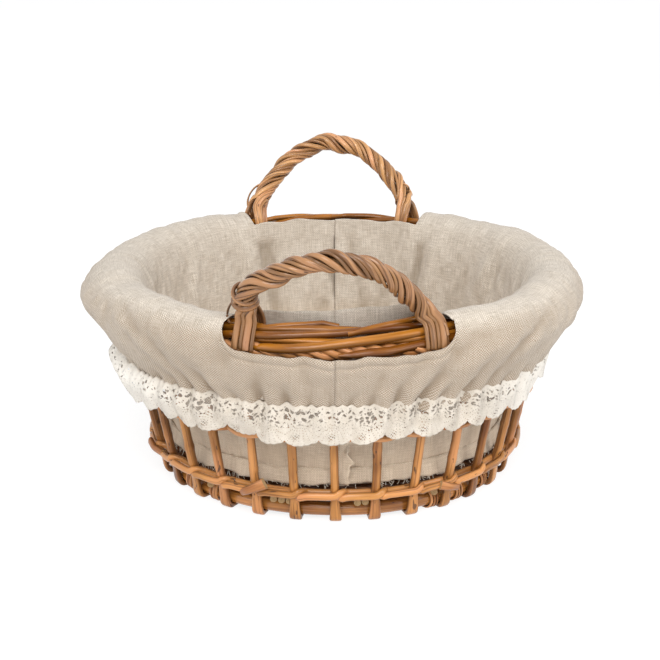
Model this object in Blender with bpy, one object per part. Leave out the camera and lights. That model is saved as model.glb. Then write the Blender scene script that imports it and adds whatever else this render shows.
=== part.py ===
"""Round willow basket for knitting, with two twisted handles and a lace-trimmed linen liner.

The basket is skeleton work. Thirty leaning stakes pass outside two hoops at the bottom and
tuck their flattened feet under the lower one. Cut sticks lie across the lower hoop and carry
the woven floor. A wale runs half-way up, a second one ties the stake tops, and a border of
three rods lies over it. Each handle is a rope of four rods, whose ends straddle the border.

The liner lifts out. Its two halves meet in seams at the front and back centre. Each half has
a wall inside the basket and a skirt that folds over the border outside it, with a slot round
each handle. An elastic in the hem draws the skirt in, and the lace is sewn over the hem.

The origin is the middle of the basket on the table, +Z is up and -Y is the front handle.
"""

import math

import bmesh
import bpy
from mathutils import Vector

for old in list(bpy.data.objects):
    bpy.data.objects.remove(old, do_unlink=True)

# Fits
SEAT_GAP = 0.0003
CLOTH_GAP = 0.001

# Stakes
STAKE_COUNT = 30
STAKE_D = 0.007
FOOT_LINE_R = 0.151
RIM_LINE_R = 0.185
RIM_H = 0.170
FOOT_T = 0.003
FOOT_W = 0.0085
FOOT_TUCK = 0.012
FOOT_BEND_H = 0.0075

# Hoops, sticks and floor
BASE_HOOP_D = 0.011
BINDING_HOOP_D = 0.009
STICK_D = 0.0055
STICK_PITCH = 0.0062
STICK_GROUP_COUNTS = (1, 3, 2, 1)
STICK_GROUP_SHARES = (-0.71, -0.3, 0.147, 0.56)
FLOOR_WEAVE_T = 0.0045

# Wales and border
WALE_D = 0.0046
WALE_CLEARANCE = 0.0009
LOWER_WALE_Z = 0.082
LOWER_WALE_DIP = 0.002
BORDER_ROD_D = 0.0064
BORDER_RODS = 3
BORDER_INSET = 0.0125
BORDER_TURNS = 5

# Handles
STRAND_D = 0.0066
STRANDS = 4
STRAND_CLEARANCE = 0.0004
ROPE_SPREAD = 1.06
HANDLE_SPAN = 0.1444
HANDLE_RISE = 0.0567
HANDLE_LEAN = 0.038
HANDLE_QUARTER_TURNS = 10
HANDLE_MERGE = 0.022
HANDLE_STEPS = 30
FRONT_ROUTE_SHARES = (
    (-1, 0), (-0.97, 0.43), (-0.76, 0.75), (-0.4, 0.94), (0, 1),
    (0.42, 0.86), (0.76, 0.53), (0.96, 0.2), (1, 0),
)
BACK_ROUTE_SHARES = (
    (-1, 0), (-0.94, 0.27), (-0.62, 0.68), (-0.22, 0.94), (0.12, 1),
    (0.46, 0.92), (0.79, 0.68), (0.97, 0.33), (1, 0),
)

# Liner
CLOTH_T = 0.0012
WALL_FOOT_INSET = 0.0051
WALL_TOP_INSET = 0.0165
WALL_TOP_DROP = 0.0105
WALL_FRONT_RISE = 0.0067
WALL_FRONT_SAG = 0.0045
WALL_BACK_DROP = 0.004
SEAM_GAP = 0.0003
SLOT_CLEARANCE = 0.0128
SLOT_TURN = math.radians(3)
SLOT_STEPS = 8
SKIRT_CREST_H = 0.0022
SKIRT_SIDE_OUT = 0.031
SKIRT_FRONT_OUT = 0.02
HEM_OUT = 0.0051
HEM_Z = 0.1085
FOLD_DEPTH = 0.0026
FOLD_COUNT = 11
SLOW_FOLD_DEPTH = 0.0016
SLOW_FOLD_COUNT = 7
GATHER_DEPTH = 0.0005
# Inside the crest: share of the way in to the wall, share of the way down to its top
SKIRT_INNER_SHARES = ((1, 1), (0.96, 0.55), (0.78, 0.2), (0.42, 0.02), (0.1, 0))
# Outside the crest: share of the bulge, share of the way to the hem line, share of the drop
SKIRT_OUTER_SHARES = (
    (0.33, 0.06, 0.02), (0.66, 0.12, 0.12), (0.92, 0.15, 0.27), (1, 0.1, 0.42),
    (0.88, 0.2, 0.6), (0.56, 0.5, 0.77), (0.18, 0.84, 0.89), (0, 1, 0.95), (0, 1, 1),
)
SLOT_START_ROW = 7.05

# Lace and elastic
LACE_T = 0.0008
LACE_TOP_Z = 0.1106
LACE_BOTTOM_Z = 0.0795
LACE_FLARE = 0.004
LACE_SCALLOPS = 46
SCALLOP_DEPTH = 0.004
LACE_WAVE = 0.0012
ELASTIC_T = 0.0008
ELASTIC_W = 0.006

# Colours: base colour, roughness
WILLOW = ((0.56, 0.30, 0.12, 1), 0.38)
WILLOW_DARK = ((0.42, 0.20, 0.08, 1), 0.5)
HANDLE_WILLOW = ((0.52, 0.32, 0.19, 1), 0.36)
LINEN = ((0.62, 0.55, 0.45, 1), 0.9)
LACE_WHITE = ((0.80, 0.75, 0.68, 1), 0.9)
ELASTIC_WHITE = ((0.75, 0.73, 0.70, 1), 0.8)

# Derived
FRONT = -math.pi / 2
BACK = math.pi / 2
STAKE_LEAN = math.atan2(RIM_LINE_R - FOOT_LINE_R, RIM_H)
BASE_HOOP_Z = FOOT_T + SEAT_GAP + BASE_HOOP_D / 2
STICK_Z = BASE_HOOP_Z + BASE_HOOP_D / 2 + SEAT_GAP + STICK_D / 2
BINDING_HOOP_Z = STICK_Z + STICK_D / 2 + SEAT_GAP + BINDING_HOOP_D / 2
FLOOR_WEAVE_Z = STICK_Z + STICK_D / 2 + SEAT_GAP
BORDER_R = RIM_LINE_R - BORDER_INSET
BORDER_TWIST_R = BORDER_ROD_D / 2 / math.sin(math.pi / BORDER_RODS) + SEAT_GAP
BORDER_HALF = BORDER_TWIST_R + BORDER_ROD_D / 2
BORDER_Z = RIM_H - BORDER_HALF
BORDER_BOTTOM_Z = RIM_H - 2 * BORDER_HALF
UPPER_WALE_Z = BORDER_BOTTOM_Z - SEAT_GAP - WALE_D / 2
LINER_FLOOR_Z = FLOOR_WEAVE_Z + FLOOR_WEAVE_T + SEAT_GAP
WALL_FOOT_Z = LINER_FLOOR_Z + CLOTH_T + SEAT_GAP
WALL_TOP_R = BORDER_R - WALL_TOP_INSET
WALL_TOP_Z = RIM_H - WALL_TOP_DROP
SKIRT_CREST_Z = RIM_H + SKIRT_CREST_H
SKIRT_SIDE_R = BORDER_R + SKIRT_SIDE_OUT
SKIRT_FRONT_R = BORDER_R + SKIRT_FRONT_OUT
HANDLE_FOOT_ANGLE = math.asin(HANDLE_SPAN / 2 / BORDER_R)
SLOT_HALF = HANDLE_FOOT_ANGLE + SLOT_CLEARANCE / BORDER_R


def stake_line(z):
    """Radius of the stakes' outer faces at the height z."""
    return FOOT_LINE_R + (RIM_LINE_R - FOOT_LINE_R) * z / RIM_H


def stake_centre(z):
    """Radius of the stakes' centre lines at the height z."""
    return stake_line(z) - STAKE_D / 2 / math.cos(STAKE_LEAN)


def inside_stakes(z, diameter):
    """Radius of a hoop that touches the inner faces of the stakes at the height z."""
    inner_face = stake_line(z) - STAKE_D / math.cos(STAKE_LEAN)
    return inner_face - (diameter / 2 + SEAT_GAP) / math.cos(STAKE_LEAN)


BASE_HOOP_R = inside_stakes(BASE_HOOP_Z, BASE_HOOP_D)
BINDING_HOOP_R = inside_stakes(BINDING_HOOP_Z, BINDING_HOOP_D)
FLOOR_WEAVE_R = BINDING_HOOP_R - BINDING_HOOP_D / 2 - SEAT_GAP
WALL_FOOT_R = FLOOR_WEAVE_R - WALL_FOOT_INSET
HEM_R = stake_line(HEM_Z) + HEM_OUT


def polar(radius, angle, z):
    """Point at a radius and an angle from +X, at the height z."""
    return Vector((radius * math.cos(angle), radius * math.sin(angle), z))


def stake_angle(index):
    """Angle of a stake; the first one stands at the front centre."""
    return FRONT + 2 * math.pi * index / STAKE_COUNT


def blend(low, high, share):
    """Value at a share of the way from low to high."""
    return low + (high - low) * share


def ease(share):
    """Smooth step from 0 to 1."""
    share = min(1, max(0, share))
    return share * share * (3 - 2 * share)


def material(name, look):
    """Principled material of one node."""
    mat = bpy.data.materials.new(name)
    mat.use_nodes = True
    shader = mat.node_tree.nodes["Principled BSDF"]
    shader.inputs["Base Color"].default_value = look[0]
    shader.inputs["Roughness"].default_value = look[1]
    return mat


def add_object(name, data, look, parent=None):
    """Link one named object with its own material, and hang it on a parent if it has one."""
    obj = bpy.data.objects.new(name, data)
    bpy.context.scene.collection.objects.link(obj)
    data.materials.append(material(name, look))
    if parent is not None:
        obj.parent = parent
        obj.matrix_parent_inverse = parent.matrix_world.inverted()
    return obj


def add_mesh(name, bm, look, parent=None, smooth=True):
    """Finish a bmesh as a named object."""
    mesh = bpy.data.meshes.new(name)
    bmesh.ops.recalc_face_normals(bm, faces=bm.faces)
    bm.to_mesh(mesh)
    bm.free()
    if smooth:
        mesh.shade_smooth()
        mesh.set_sharp_from_angle(angle=math.radians(50))
    return add_object(name, mesh, look, parent)


def rod(name, points, diameter, look, closed=False, resolution=1, tilt=0):
    """Round rod along a row of points: a poly curve with a bevel and filled caps."""
    curve = bpy.data.curves.new(name, "CURVE")
    curve.dimensions = "3D"
    curve.twist_mode = "Z_UP" if closed else "MINIMUM"
    curve.bevel_depth = diameter / 2
    curve.bevel_resolution = resolution
    curve.use_fill_caps = not closed
    spline = curve.splines.new("POLY")
    spline.points.add(len(points) - 1)
    for place, point in zip(spline.points, points):
        place.co = (point.x, point.y, point.z, 1)
        place.tilt = tilt
    spline.use_cyclic_u = closed
    spline.use_smooth = True
    return add_object(name, curve, look)


def ring_points(count, radius_of, z_of):
    """Points round the basket, starting at the front."""
    angles = [FRONT + 2 * math.pi * i / count for i in range(count)]
    return [polar(radius_of(i, a), a, z_of(i, a)) for i, a in enumerate(angles)]


def skin(bm, rings, closed):
    """Bridge rows of vertices with quads, cap the ends or close the loop."""
    rows = [[bm.verts.new(p) for p in ring] for ring in rings]
    sides = len(rows[0])
    pairs = list(zip(rows, rows[1:]))
    if closed:
        pairs.append((rows[-1], rows[0]))
    for a, b in pairs:
        for i in range(sides):
            j = (i + 1) % sides
            bm.faces.new((a[i], a[j], b[j], b[i]))
    if not closed:
        bm.faces.new(rows[0])
        bm.faces.new(rows[-1])
    return rows


def cloth_shell(name, grid, thickness, closed, look, parent):
    """Closed solid of a cloth: a grid of columns and rows, thickened along its normals."""
    columns = len(grid)
    rows = len(grid[0])
    sections = []
    for i in range(columns):
        before = grid[(i - 1) % columns] if closed or i > 0 else grid[i]
        after = grid[(i + 1) % columns] if closed or i < columns - 1 else grid[i]
        front_side = []
        back_side = []
        for j in range(rows):
            along = after[j] - before[j]
            down = grid[i][min(j + 1, rows - 1)] - grid[i][max(j - 1, 0)]
            normal = along.cross(down).normalized()
            front_side.append(grid[i][j] + normal * (thickness / 2))
            back_side.append(grid[i][j] - normal * (thickness / 2))
        sections.append(front_side + back_side[::-1])
    bm = bmesh.new()
    verts = [[bm.verts.new(p) for p in section] for section in sections]
    count = 2 * rows
    last = columns if closed else columns - 1
    for i in range(last):
        a = verts[i]
        b = verts[(i + 1) % columns]
        for k in range(count):
            m = (k + 1) % count
            bm.faces.new((a[k], a[m], b[m], b[k]))
    if not closed:
        for end in (verts[0], verts[-1]):
            for j in range(rows - 1):
                bm.faces.new((end[j], end[j + 1], end[count - 2 - j], end[count - 1 - j]))
    bmesh.ops.triangulate(bm, faces=bm.faces)
    return add_mesh(name, bm, look, parent)


def build_stake(index):
    """One stake: six-sided, straight and leaning, with a flattened foot under the hoop."""
    angle = stake_angle(index)
    outward = polar(1, angle, 0)
    across = Vector((-outward.y, outward.x, 0))
    top_z = BORDER_BOTTOM_Z - SEAT_GAP - STAKE_D / 2 * math.sin(STAKE_LEAN)
    foot_z = FOOT_T / 2
    foot_r = stake_centre(0)
    lean = (math.sin(STAKE_LEAN), math.cos(STAKE_LEAN))
    bend = (math.sin(math.radians(45)), math.cos(math.radians(45)))
    stations = (
        (stake_centre(top_z), top_z, lean, STAKE_D, STAKE_D),
        (stake_centre(FOOT_BEND_H), FOOT_BEND_H, lean, STAKE_D, STAKE_D),
        (foot_r - FOOT_T / 4, FOOT_T, bend, FOOT_W, blend(FOOT_T, STAKE_D, 0.35)),
        (foot_r - FOOT_T, foot_z, (1, 0), FOOT_W, FOOT_T),
        (foot_r - FOOT_TUCK, foot_z, (1, 0), STAKE_D, FOOT_T),
    )
    rings = []
    for radius, z, way, width, thick in stations:
        centre = polar(radius, angle, z)
        face = outward * way[1] - Vector((0, 0, way[0]))
        ring = [
            centre + across * (width / 2),
            centre + across * (width / 4) + face * (thick / 2),
            centre - across * (width / 4) + face * (thick / 2),
            centre - across * (width / 2),
            centre - across * (width / 4) - face * (thick / 2),
            centre + across * (width / 4) - face * (thick / 2),
        ]
        rings.append(ring)
    bm = bmesh.new()
    skin(bm, rings, closed=False)
    add_mesh("stake_%02d" % (index + 1), bm, WILLOW)


def build_base():
    """Lower hoop, cut sticks across it, binding hoop on top and the woven floor inside."""
    count = 2 * STAKE_COUNT
    hoops = (
        ("base_hoop", BASE_HOOP_R, BASE_HOOP_Z, BASE_HOOP_D),
        ("binding_hoop", BINDING_HOOP_R, BINDING_HOOP_Z, BINDING_HOOP_D),
    )
    for name, radius, z, diameter in hoops:
        points = ring_points(count, lambda i, a: radius, lambda i, a: z)
        rod(name, points, diameter, WILLOW, closed=True, tilt=math.pi / 6)

    end_r = BASE_HOOP_R + BASE_HOOP_D / 2
    number = 0
    for group_count, share in zip(STICK_GROUP_COUNTS, STICK_GROUP_SHARES):
        for place in range(group_count):
            number += 1
            x = share * BASE_HOOP_R + (place - (group_count - 1) / 2) * STICK_PITCH
            half = math.sqrt(end_r ** 2 - (abs(x) + STICK_D / 2) ** 2)
            ends = [Vector((x, -half, STICK_Z)), Vector((x, half, STICK_Z))]
            rod("base_stick_%d" % number, ends, STICK_D, WILLOW, resolution=2)

    bm = bmesh.new()
    rims = []
    for z in (FLOOR_WEAVE_Z, FLOOR_WEAVE_Z + FLOOR_WEAVE_T):
        rims.append(ring_points(count, lambda i, a: FLOOR_WEAVE_R, lambda i, a: z))
    skin(bm, rims, closed=False)
    add_mesh("floor_weave", bm, WILLOW_DARK)


def build_wales():
    """Two rods woven outside one stake and inside the next, closed after an even count."""
    swing = STAKE_D / 2 / math.cos(STAKE_LEAN) + WALE_D / 2 + WALE_CLEARANCE
    wales = (
        ("lower_wale", LOWER_WALE_Z, LOWER_WALE_DIP),
        ("upper_wale", UPPER_WALE_Z, 0),
    )
    for name, height, dip in wales:
        def radius_of(i, a):
            side = (1, 0, -1, 0)[i % 4]
            return stake_centre(height) + swing * side

        def z_of(i, a):
            return height - dip * (i % 2)

        points = ring_points(2 * STAKE_COUNT, radius_of, z_of)
        rod(name, points, WALE_D, WILLOW, closed=True)


def build_border():
    """Three rods laid round each other over the stake tops, each a closed ring."""
    for k in range(BORDER_RODS):
        start = 2 * math.pi * k / BORDER_RODS

        def phase(a):
            return start - BORDER_TURNS * (a - FRONT)

        def radius_of(i, a):
            return BORDER_R + BORDER_TWIST_R * math.cos(phase(a))

        def z_of(i, a):
            return BORDER_Z + BORDER_TWIST_R * -math.sin(phase(a))

        points = ring_points(2 * STAKE_COUNT, radius_of, z_of)
        rod("border_rod_%d" % (k + 1), points, BORDER_ROD_D, WILLOW, closed=True)


def smooth_route(places, count):
    """Even points on a Catmull-Rom curve through the places."""
    padded = [places[0] * 2 - places[1]] + list(places) + [places[-1] * 2 - places[-2]]
    fine = []
    fine_steps = 24
    for a, b, c, d in zip(padded, padded[1:], padded[2:], padded[3:]):
        for i in range(fine_steps):
            t = i / fine_steps
            fine.append((b * 2 + (c - a) * t + (a * 2 - b * 5 + c * 4 - d) * t * t
                         + (b * 3 - a - c * 3 + d) * t * t * t) / 2)
    fine.append(places[-1])
    run = [0]
    for a, b in zip(fine, fine[1:]):
        run.append(run[-1] + (b - a).length)
    points = []
    for i in range(count + 1):
        goal = run[-1] * i / count
        k = 0
        while k < len(run) - 2 and run[k + 1] < goal:
            k += 1
        points.append(fine[k].lerp(fine[k + 1], (goal - run[k]) / (run[k + 1] - run[k])))
    return points, run[-1]


def build_handle(name, route_shares, turn):
    """Rope of four rods in an arch that leans out, its legs straddling the border."""
    half = HANDLE_SPAN / 2
    foot_y = -math.sqrt(BORDER_R ** 2 - half ** 2)
    places = []
    for across_share, rise_share in route_shares:
        lean = HANDLE_LEAN * rise_share ** 1.2
        places.append(Vector((half * across_share, foot_y - lean, RIM_H + HANDLE_RISE * rise_share)))
    arch, length = smooth_route(places, HANDLE_STEPS)
    leg = Vector((0, 0, 2 * BORDER_HALF - SEAT_GAP))
    centres = [arch[0] - leg] + arch + [arch[-1] - leg]
    runs = [-leg.z] + [length * i / HANDLE_STEPS for i in range(HANDLE_STEPS + 1)] + [length + leg.z]
    rope_r = STRAND_D / 2 / math.sin(math.pi / STRANDS) * ROPE_SPREAD + SEAT_GAP
    straddle = (BORDER_HALF + STRAND_D / 2 + STRAND_CLEARANCE) / math.sin(math.radians(45))
    sides = (-1, 1)
    for k in range(STRANDS):
        points = []
        for i, (centre, run) in enumerate(zip(centres, runs)):
            if i == 0 or i == len(centres) - 1:
                way = Vector((0, 0, 1 if i == 0 else -1))
            else:
                before = centres[i - 1] if i > 1 else centre
                after = centres[i + 1] if i < len(centres) - 2 else centre
                way = (after - before).normalized()
            from_foot = min(run, length - run)
            side = sides[run > length / 2]
            foot_out = Vector((side * math.sin(HANDLE_FOOT_ANGLE), -math.cos(HANDLE_FOOT_ANGLE), 0))
            merged = ease(from_foot / HANDLE_MERGE)
            out = foot_out.lerp(Vector((0, -1, 0)), merged)
            if from_foot <= 0:
                way = Vector((0, 0, -side))
            out = (out - way * out.dot(way)).normalized()
            up = out.cross(way)
            share = (run - HANDLE_MERGE / 2) / (length - HANDLE_MERGE)
            share = min(1, max(0, share))
            phase = math.pi / 2 * (k + 0.5 + HANDLE_QUARTER_TURNS * share)
            reach = blend(straddle, rope_r, merged)
            point = centre + up * (rope_r * math.cos(phase)) + out * (reach * math.sin(phase))
            points.append(Vector((point.x * turn, point.y * turn, point.z)))
        rod("%s_rod_%d" % (name, k + 1), points, STRAND_D, HANDLE_WILLOW)


def wall_radius(z):
    """Radius of the liner wall's middle surface at the height z."""
    return blend(WALL_FOOT_R, WALL_TOP_R, (z - WALL_FOOT_Z) / (WALL_TOP_Z - WALL_FOOT_Z))


def half_angles(side, seam_r, step):
    """Column angles of one half from the front seam to the back one, close at the slots."""
    inset = SEAM_GAP / seam_r
    slot_marks = [SLOT_HALF + SLOT_TURN * i / SLOT_STEPS for i in range(SLOT_STEPS + 1)]
    offsets = [inset]
    while offsets[-1] + step < SLOT_HALF - step / 3:
        offsets.append(offsets[-1] + step)
    offsets += slot_marks
    middle = math.pi / 2
    count = round((middle - slot_marks[-1]) / step)
    offsets += [blend(slot_marks[-1], middle, (i + 1) / count) for i in range(count)]
    front_half = [FRONT + side * a for a in offsets]
    back_half = [BACK - side * a for a in offsets[-2::-1]]
    return front_half + back_half


def slot_distance(angle):
    """Angle from the nearer handle's centre plane, and whether that is the front one."""
    from_front = abs(math.remainder(angle - FRONT, 2 * math.pi))
    from_back = abs(math.remainder(angle - BACK, 2 * math.pi))
    return min(from_front, from_back), from_front < from_back


def build_liner_half(label, side, parent):
    """Wall and skirt of one half of the liner."""
    step = math.radians(9)
    wall_rows = 3
    wall_grid = []
    for angle in half_angles(side, WALL_FOOT_R, step):
        away, at_front = slot_distance(angle)
        top = WALL_TOP_Z
        if away < SLOT_HALF + SLOT_TURN / 2:
            if at_front:
                sag = WALL_FRONT_SAG * (1 - (away / SLOT_HALF) ** 2)
                top = RIM_H + WALL_FRONT_RISE + WALL_FRONT_SAG - sag
            else:
                top = RIM_H - WALL_BACK_DROP
        column = []
        for j in range(wall_rows + 1):
            z = blend(top, WALL_FOOT_Z, j / wall_rows)
            column.append(polar(min(wall_radius(z), WALL_TOP_R), angle, z))
        wall_grid.append(column)
    cloth_shell("liner_wall_" + label, wall_grid, CLOTH_T, False, LINEN, parent)

    inner_count = len(SKIRT_INNER_SHARES)
    last_row = inner_count + len(SKIRT_OUTER_SHARES) - 1
    step = math.radians(6.2)
    skirt_rows = 10
    skirt_grid = []
    for angle in half_angles(side, HEM_R, step):
        away, at_front = slot_distance(angle)
        bulge_r = blend(SKIRT_SIDE_R, SKIRT_FRONT_R, abs(math.sin(angle)) ** 3)
        profile = []
        for reach, fall in SKIRT_INNER_SHARES:
            r = blend(BORDER_R, WALL_TOP_R, reach)
            z = blend(SKIRT_CREST_Z, WALL_TOP_Z + SEAT_GAP + CLOTH_T / 2, fall)
            profile.append((r, z))
        for bulge, hemward, fall in SKIRT_OUTER_SHARES:
            r = BORDER_R + (bulge_r - BORDER_R) * bulge + (HEM_R - BORDER_R) * hemward
            profile.append((r, blend(SKIRT_CREST_Z, HEM_Z, fall)))
        start = SLOT_START_ROW * min(1, max(0, (SLOT_HALF + SLOT_TURN - away) / SLOT_TURN))
        column = []
        for j in range(skirt_rows + 1):
            place = blend(start, last_row, j / skirt_rows)
            k = min(int(place), last_row - 1)
            share = place - k
            r = blend(profile[k][0], profile[k + 1][0], share)
            z = blend(profile[k][1], profile[k + 1][1], share)
            hang = (place - inner_count - 1) / (last_row - inner_count - 2)
            hang = min(1, max(0, hang))
            swell = math.sin(math.pi * hang ** 0.8)
            fold = FOLD_DEPTH * math.cos(FOLD_COUNT * angle + hang * side)
            slow_fold = SLOW_FOLD_DEPTH * math.sin(SLOW_FOLD_COUNT * (angle - FRONT) * side + hang)
            gather = GATHER_DEPTH * hang ** 2 * math.cos(FOLD_COUNT * angle)
            column.append(polar(r + (fold + slow_fold) * swell + gather, angle, z))
        skirt_grid.append(column)
    cloth_shell("liner_skirt_" + label, skirt_grid, CLOTH_T, False, LINEN, parent)


def build_liner():
    """Liner on its own carrier, which lifts it straight up out of the basket."""
    carrier = bpy.data.objects.new("liner_lift", None)
    bpy.context.scene.collection.objects.link(carrier)
    carrier.location = (0, 0, LINER_FLOOR_Z)
    bpy.context.view_layer.update()

    count = 2 * STAKE_COUNT
    rims = []
    for z in (LINER_FLOOR_Z, LINER_FLOOR_Z + CLOTH_T):
        rims.append(ring_points(count, lambda i, a: WALL_FOOT_R + CLOTH_T / 2, lambda i, a: z))
    bm = bmesh.new()
    skin(bm, rims, closed=False)
    add_mesh("liner_floor", bm, LINEN, carrier)

    build_liner_half("right", 1, carrier)
    build_liner_half("left", -1, carrier)

    lace_columns = 2 * LACE_SCALLOPS
    top_r = HEM_R + CLOTH_T / 2 + CLOTH_GAP + SEAT_GAP + LACE_T / 2
    lace_grid = []
    for i in range(lace_columns):
        angle = FRONT + 2 * math.pi * i / lace_columns
        low = LACE_BOTTOM_Z + SCALLOP_DEPTH * (i % 2)
        wave = LACE_WAVE * math.cos(LACE_SCALLOPS / 2 * (angle - FRONT))
        mid = polar(top_r + LACE_FLARE * 0.4, angle, blend(LACE_TOP_Z, LACE_BOTTOM_Z, 0.45))
        lace_grid.append([
            polar(top_r, angle, LACE_TOP_Z),
            mid,
            polar(top_r + LACE_FLARE + wave, angle, low),
        ])
    cloth_shell("lace_trim", lace_grid, LACE_T, True, LACE_WHITE, carrier)

    elastic_r = HEM_R - CLOTH_T / 2 - CLOTH_GAP - SEAT_GAP - ELASTIC_T / 2
    elastic_z = HEM_Z + SEAT_GAP
    section = (
        (-ELASTIC_T / 2, elastic_z), (ELASTIC_T / 2, elastic_z),
        (ELASTIC_T / 2, elastic_z + ELASTIC_W), (-ELASTIC_T / 2, elastic_z + ELASTIC_W),
    )
    rings = []
    for i in range(count):
        angle = FRONT + 2 * math.pi * i / count
        rings.append([polar(elastic_r + dr, angle, z) for dr, z in section])
    bm = bmesh.new()
    skin(bm, rings, closed=True)
    add_mesh("hem_elastic", bm, ELASTIC_WHITE, carrier)


for stake_index in range(STAKE_COUNT):
    build_stake(stake_index)
build_base()
build_wales()
build_border()
build_handle("front_handle", FRONT_ROUTE_SHARES, 1)
build_handle("back_handle", BACK_ROUTE_SHARES, -1)
build_liner()
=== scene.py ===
# %% [markdown]
# # A willow basket with a linen liner
# The basket is skeleton work: thirty leaning stakes stand outside two hoops, twisted wales
# tie them together, and a border of long rods closes the top. Two rope handles stand on the
# border. A lace-trimmed linen liner lies inside and folds down over the border.
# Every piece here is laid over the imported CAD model, which already holds the true sizes.

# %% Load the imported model
import math

import bpy
import numpy as np
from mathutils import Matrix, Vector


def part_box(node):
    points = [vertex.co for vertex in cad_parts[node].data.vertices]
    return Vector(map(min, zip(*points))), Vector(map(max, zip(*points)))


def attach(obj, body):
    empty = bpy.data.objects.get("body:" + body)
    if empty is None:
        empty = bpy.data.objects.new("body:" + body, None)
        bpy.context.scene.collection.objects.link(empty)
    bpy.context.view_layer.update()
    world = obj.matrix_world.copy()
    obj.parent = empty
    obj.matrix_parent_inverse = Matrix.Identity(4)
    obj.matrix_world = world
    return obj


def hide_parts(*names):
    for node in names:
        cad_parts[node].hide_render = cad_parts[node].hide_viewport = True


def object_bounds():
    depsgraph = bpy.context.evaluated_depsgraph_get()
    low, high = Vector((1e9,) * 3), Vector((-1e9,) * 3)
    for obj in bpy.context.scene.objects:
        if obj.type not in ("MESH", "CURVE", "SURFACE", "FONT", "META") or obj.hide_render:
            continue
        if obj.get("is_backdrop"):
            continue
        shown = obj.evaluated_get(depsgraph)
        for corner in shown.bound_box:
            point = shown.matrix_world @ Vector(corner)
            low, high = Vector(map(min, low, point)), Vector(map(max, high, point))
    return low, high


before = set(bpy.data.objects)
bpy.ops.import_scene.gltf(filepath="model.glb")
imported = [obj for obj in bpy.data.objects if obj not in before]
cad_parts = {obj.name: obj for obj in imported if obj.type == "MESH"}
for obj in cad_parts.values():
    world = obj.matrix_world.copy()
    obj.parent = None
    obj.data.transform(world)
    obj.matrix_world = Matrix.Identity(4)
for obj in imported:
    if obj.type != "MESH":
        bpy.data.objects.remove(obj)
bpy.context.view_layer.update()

# %% [markdown]
# ## Camera and studio
# The photograph was taken from a little above the rim, through a long lens that keeps the
# ellipses flat. The camera stands in front of the near handle and looks down 18 degrees.
# The studio is a white sweep: the world and the floor look white to the camera, but give
# the basket only plain, soft light, so that linen and willow keep the colours written here.

# %% Camera
PHOTO_SIZE = 660
FOCAL_PIXELS = 1665
CENTRE_PIXEL_X = 335
CAMERA_PLACE = (0, -1.343, 0.545)
CAMERA_DIP = math.radians(17.93)

lens = bpy.data.cameras.new("camera")
lens.lens = FOCAL_PIXELS / PHOTO_SIZE * lens.sensor_width
lens.shift_x = (PHOTO_SIZE / 2 - CENTRE_PIXEL_X) / PHOTO_SIZE
camera = bpy.data.objects.new("camera", lens)
camera.location = CAMERA_PLACE
camera.rotation_euler = (math.pi / 2 - CAMERA_DIP, 0, 0)
bpy.context.scene.collection.objects.link(camera)
bpy.context.scene.camera = camera
bpy.context.scene.view_settings.view_transform = "Standard"
print("lens", round(lens.lens, 1), "mm")


# %% [markdown]
# Shader maths reads best as plain expressions. This small class wraps one socket, so that
# `1 - mask` or `warp * 0.5` adds the Math nodes by itself. Its one method `node` makes any
# other node from its type, its settings and what goes into its sockets.

# %% Shader expressions
class Wire:
    """One output socket of a material. Arithmetic on it adds Math nodes."""

    def __init__(self, tree, socket=None):
        self.tree = tree
        self.socket = socket

    def node(self, kind, settings=None, inputs=None, out=0):
        """Any node: its settings are set first, then its sockets are filled or linked."""
        made = self.tree.nodes.new(kind)
        for key, value in (settings or {}).items():
            if key == "stops":
                for stop, (place, colour) in zip(made.color_ramp.elements, value):
                    stop.position, stop.color = place, colour
            else:
                setattr(made, key, value)
        for key, value in (inputs or {}).items():
            if isinstance(value, Wire):
                self.tree.links.new(value.socket, made.inputs[key])
            else:
                made.inputs[key].default_value = value
        return Wire(self.tree, made.outputs[out] if made.outputs else None)

    def maths(self, operation, *values):
        return self.node("ShaderNodeMath", {"operation": operation}, dict(enumerate(values)))

    def __add__(self, other):
        return self.maths("ADD", self, other)

    def __sub__(self, other):
        return self.maths("SUBTRACT", self, other)

    def __rsub__(self, other):
        return self.maths("SUBTRACT", other, self)

    def __mul__(self, other):
        return self.maths("MULTIPLY", self, other)

    def __truediv__(self, other):
        return self.maths("DIVIDE", self, other)

    def __pow__(self, other):
        return self.maths("POWER", self, other)

    def __gt__(self, other):
        return self.maths("GREATER_THAN", self, other)

    def __lt__(self, other):
        return self.maths("LESS_THAN", self, other)

    __radd__ = __add__
    __rmul__ = __mul__

    def smooth(self, low, high):
        """Smooth step: 0 below low, 1 above high."""
        settings = {"interpolation_type": "SMOOTHSTEP"}
        return self.node("ShaderNodeMapRange", settings, {0: self, 1: low, 2: high})

    def tint(self, dark, light):
        """Colour at this share of the way from one colour to another."""
        settings = {"data_type": "RGBA"}
        return self.node("ShaderNodeMix", settings, {0: self, 6: dark, 7: light}, out=2)

    def stretch(self, x, y, z=1):
        """This vector with each direction scaled."""
        return self.node("ShaderNodeVectorMath", {"operation": "MULTIPLY"}, {0: self, 1: (x, y, z)})

    def noise(self, scale=1, detail=2, rough=0.5):
        """Soft random pattern over this vector, about 0.5 on average."""
        inputs = {"Vector": self, "Scale": scale, "Detail": detail, "Roughness": rough}
        return self.node("ShaderNodeTexNoise", {}, inputs)

    def part(self, axis):
        """One of the three numbers of this vector."""
        return self.node("ShaderNodeSeparateXYZ", {}, {0: self}, out=axis)


def new_material(name):
    """Empty material and the wrapper that its nodes start from."""
    made = bpy.data.materials.new(name)
    made.use_nodes = True
    made.node_tree.nodes.clear()
    return made, Wire(made.node_tree)


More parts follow.
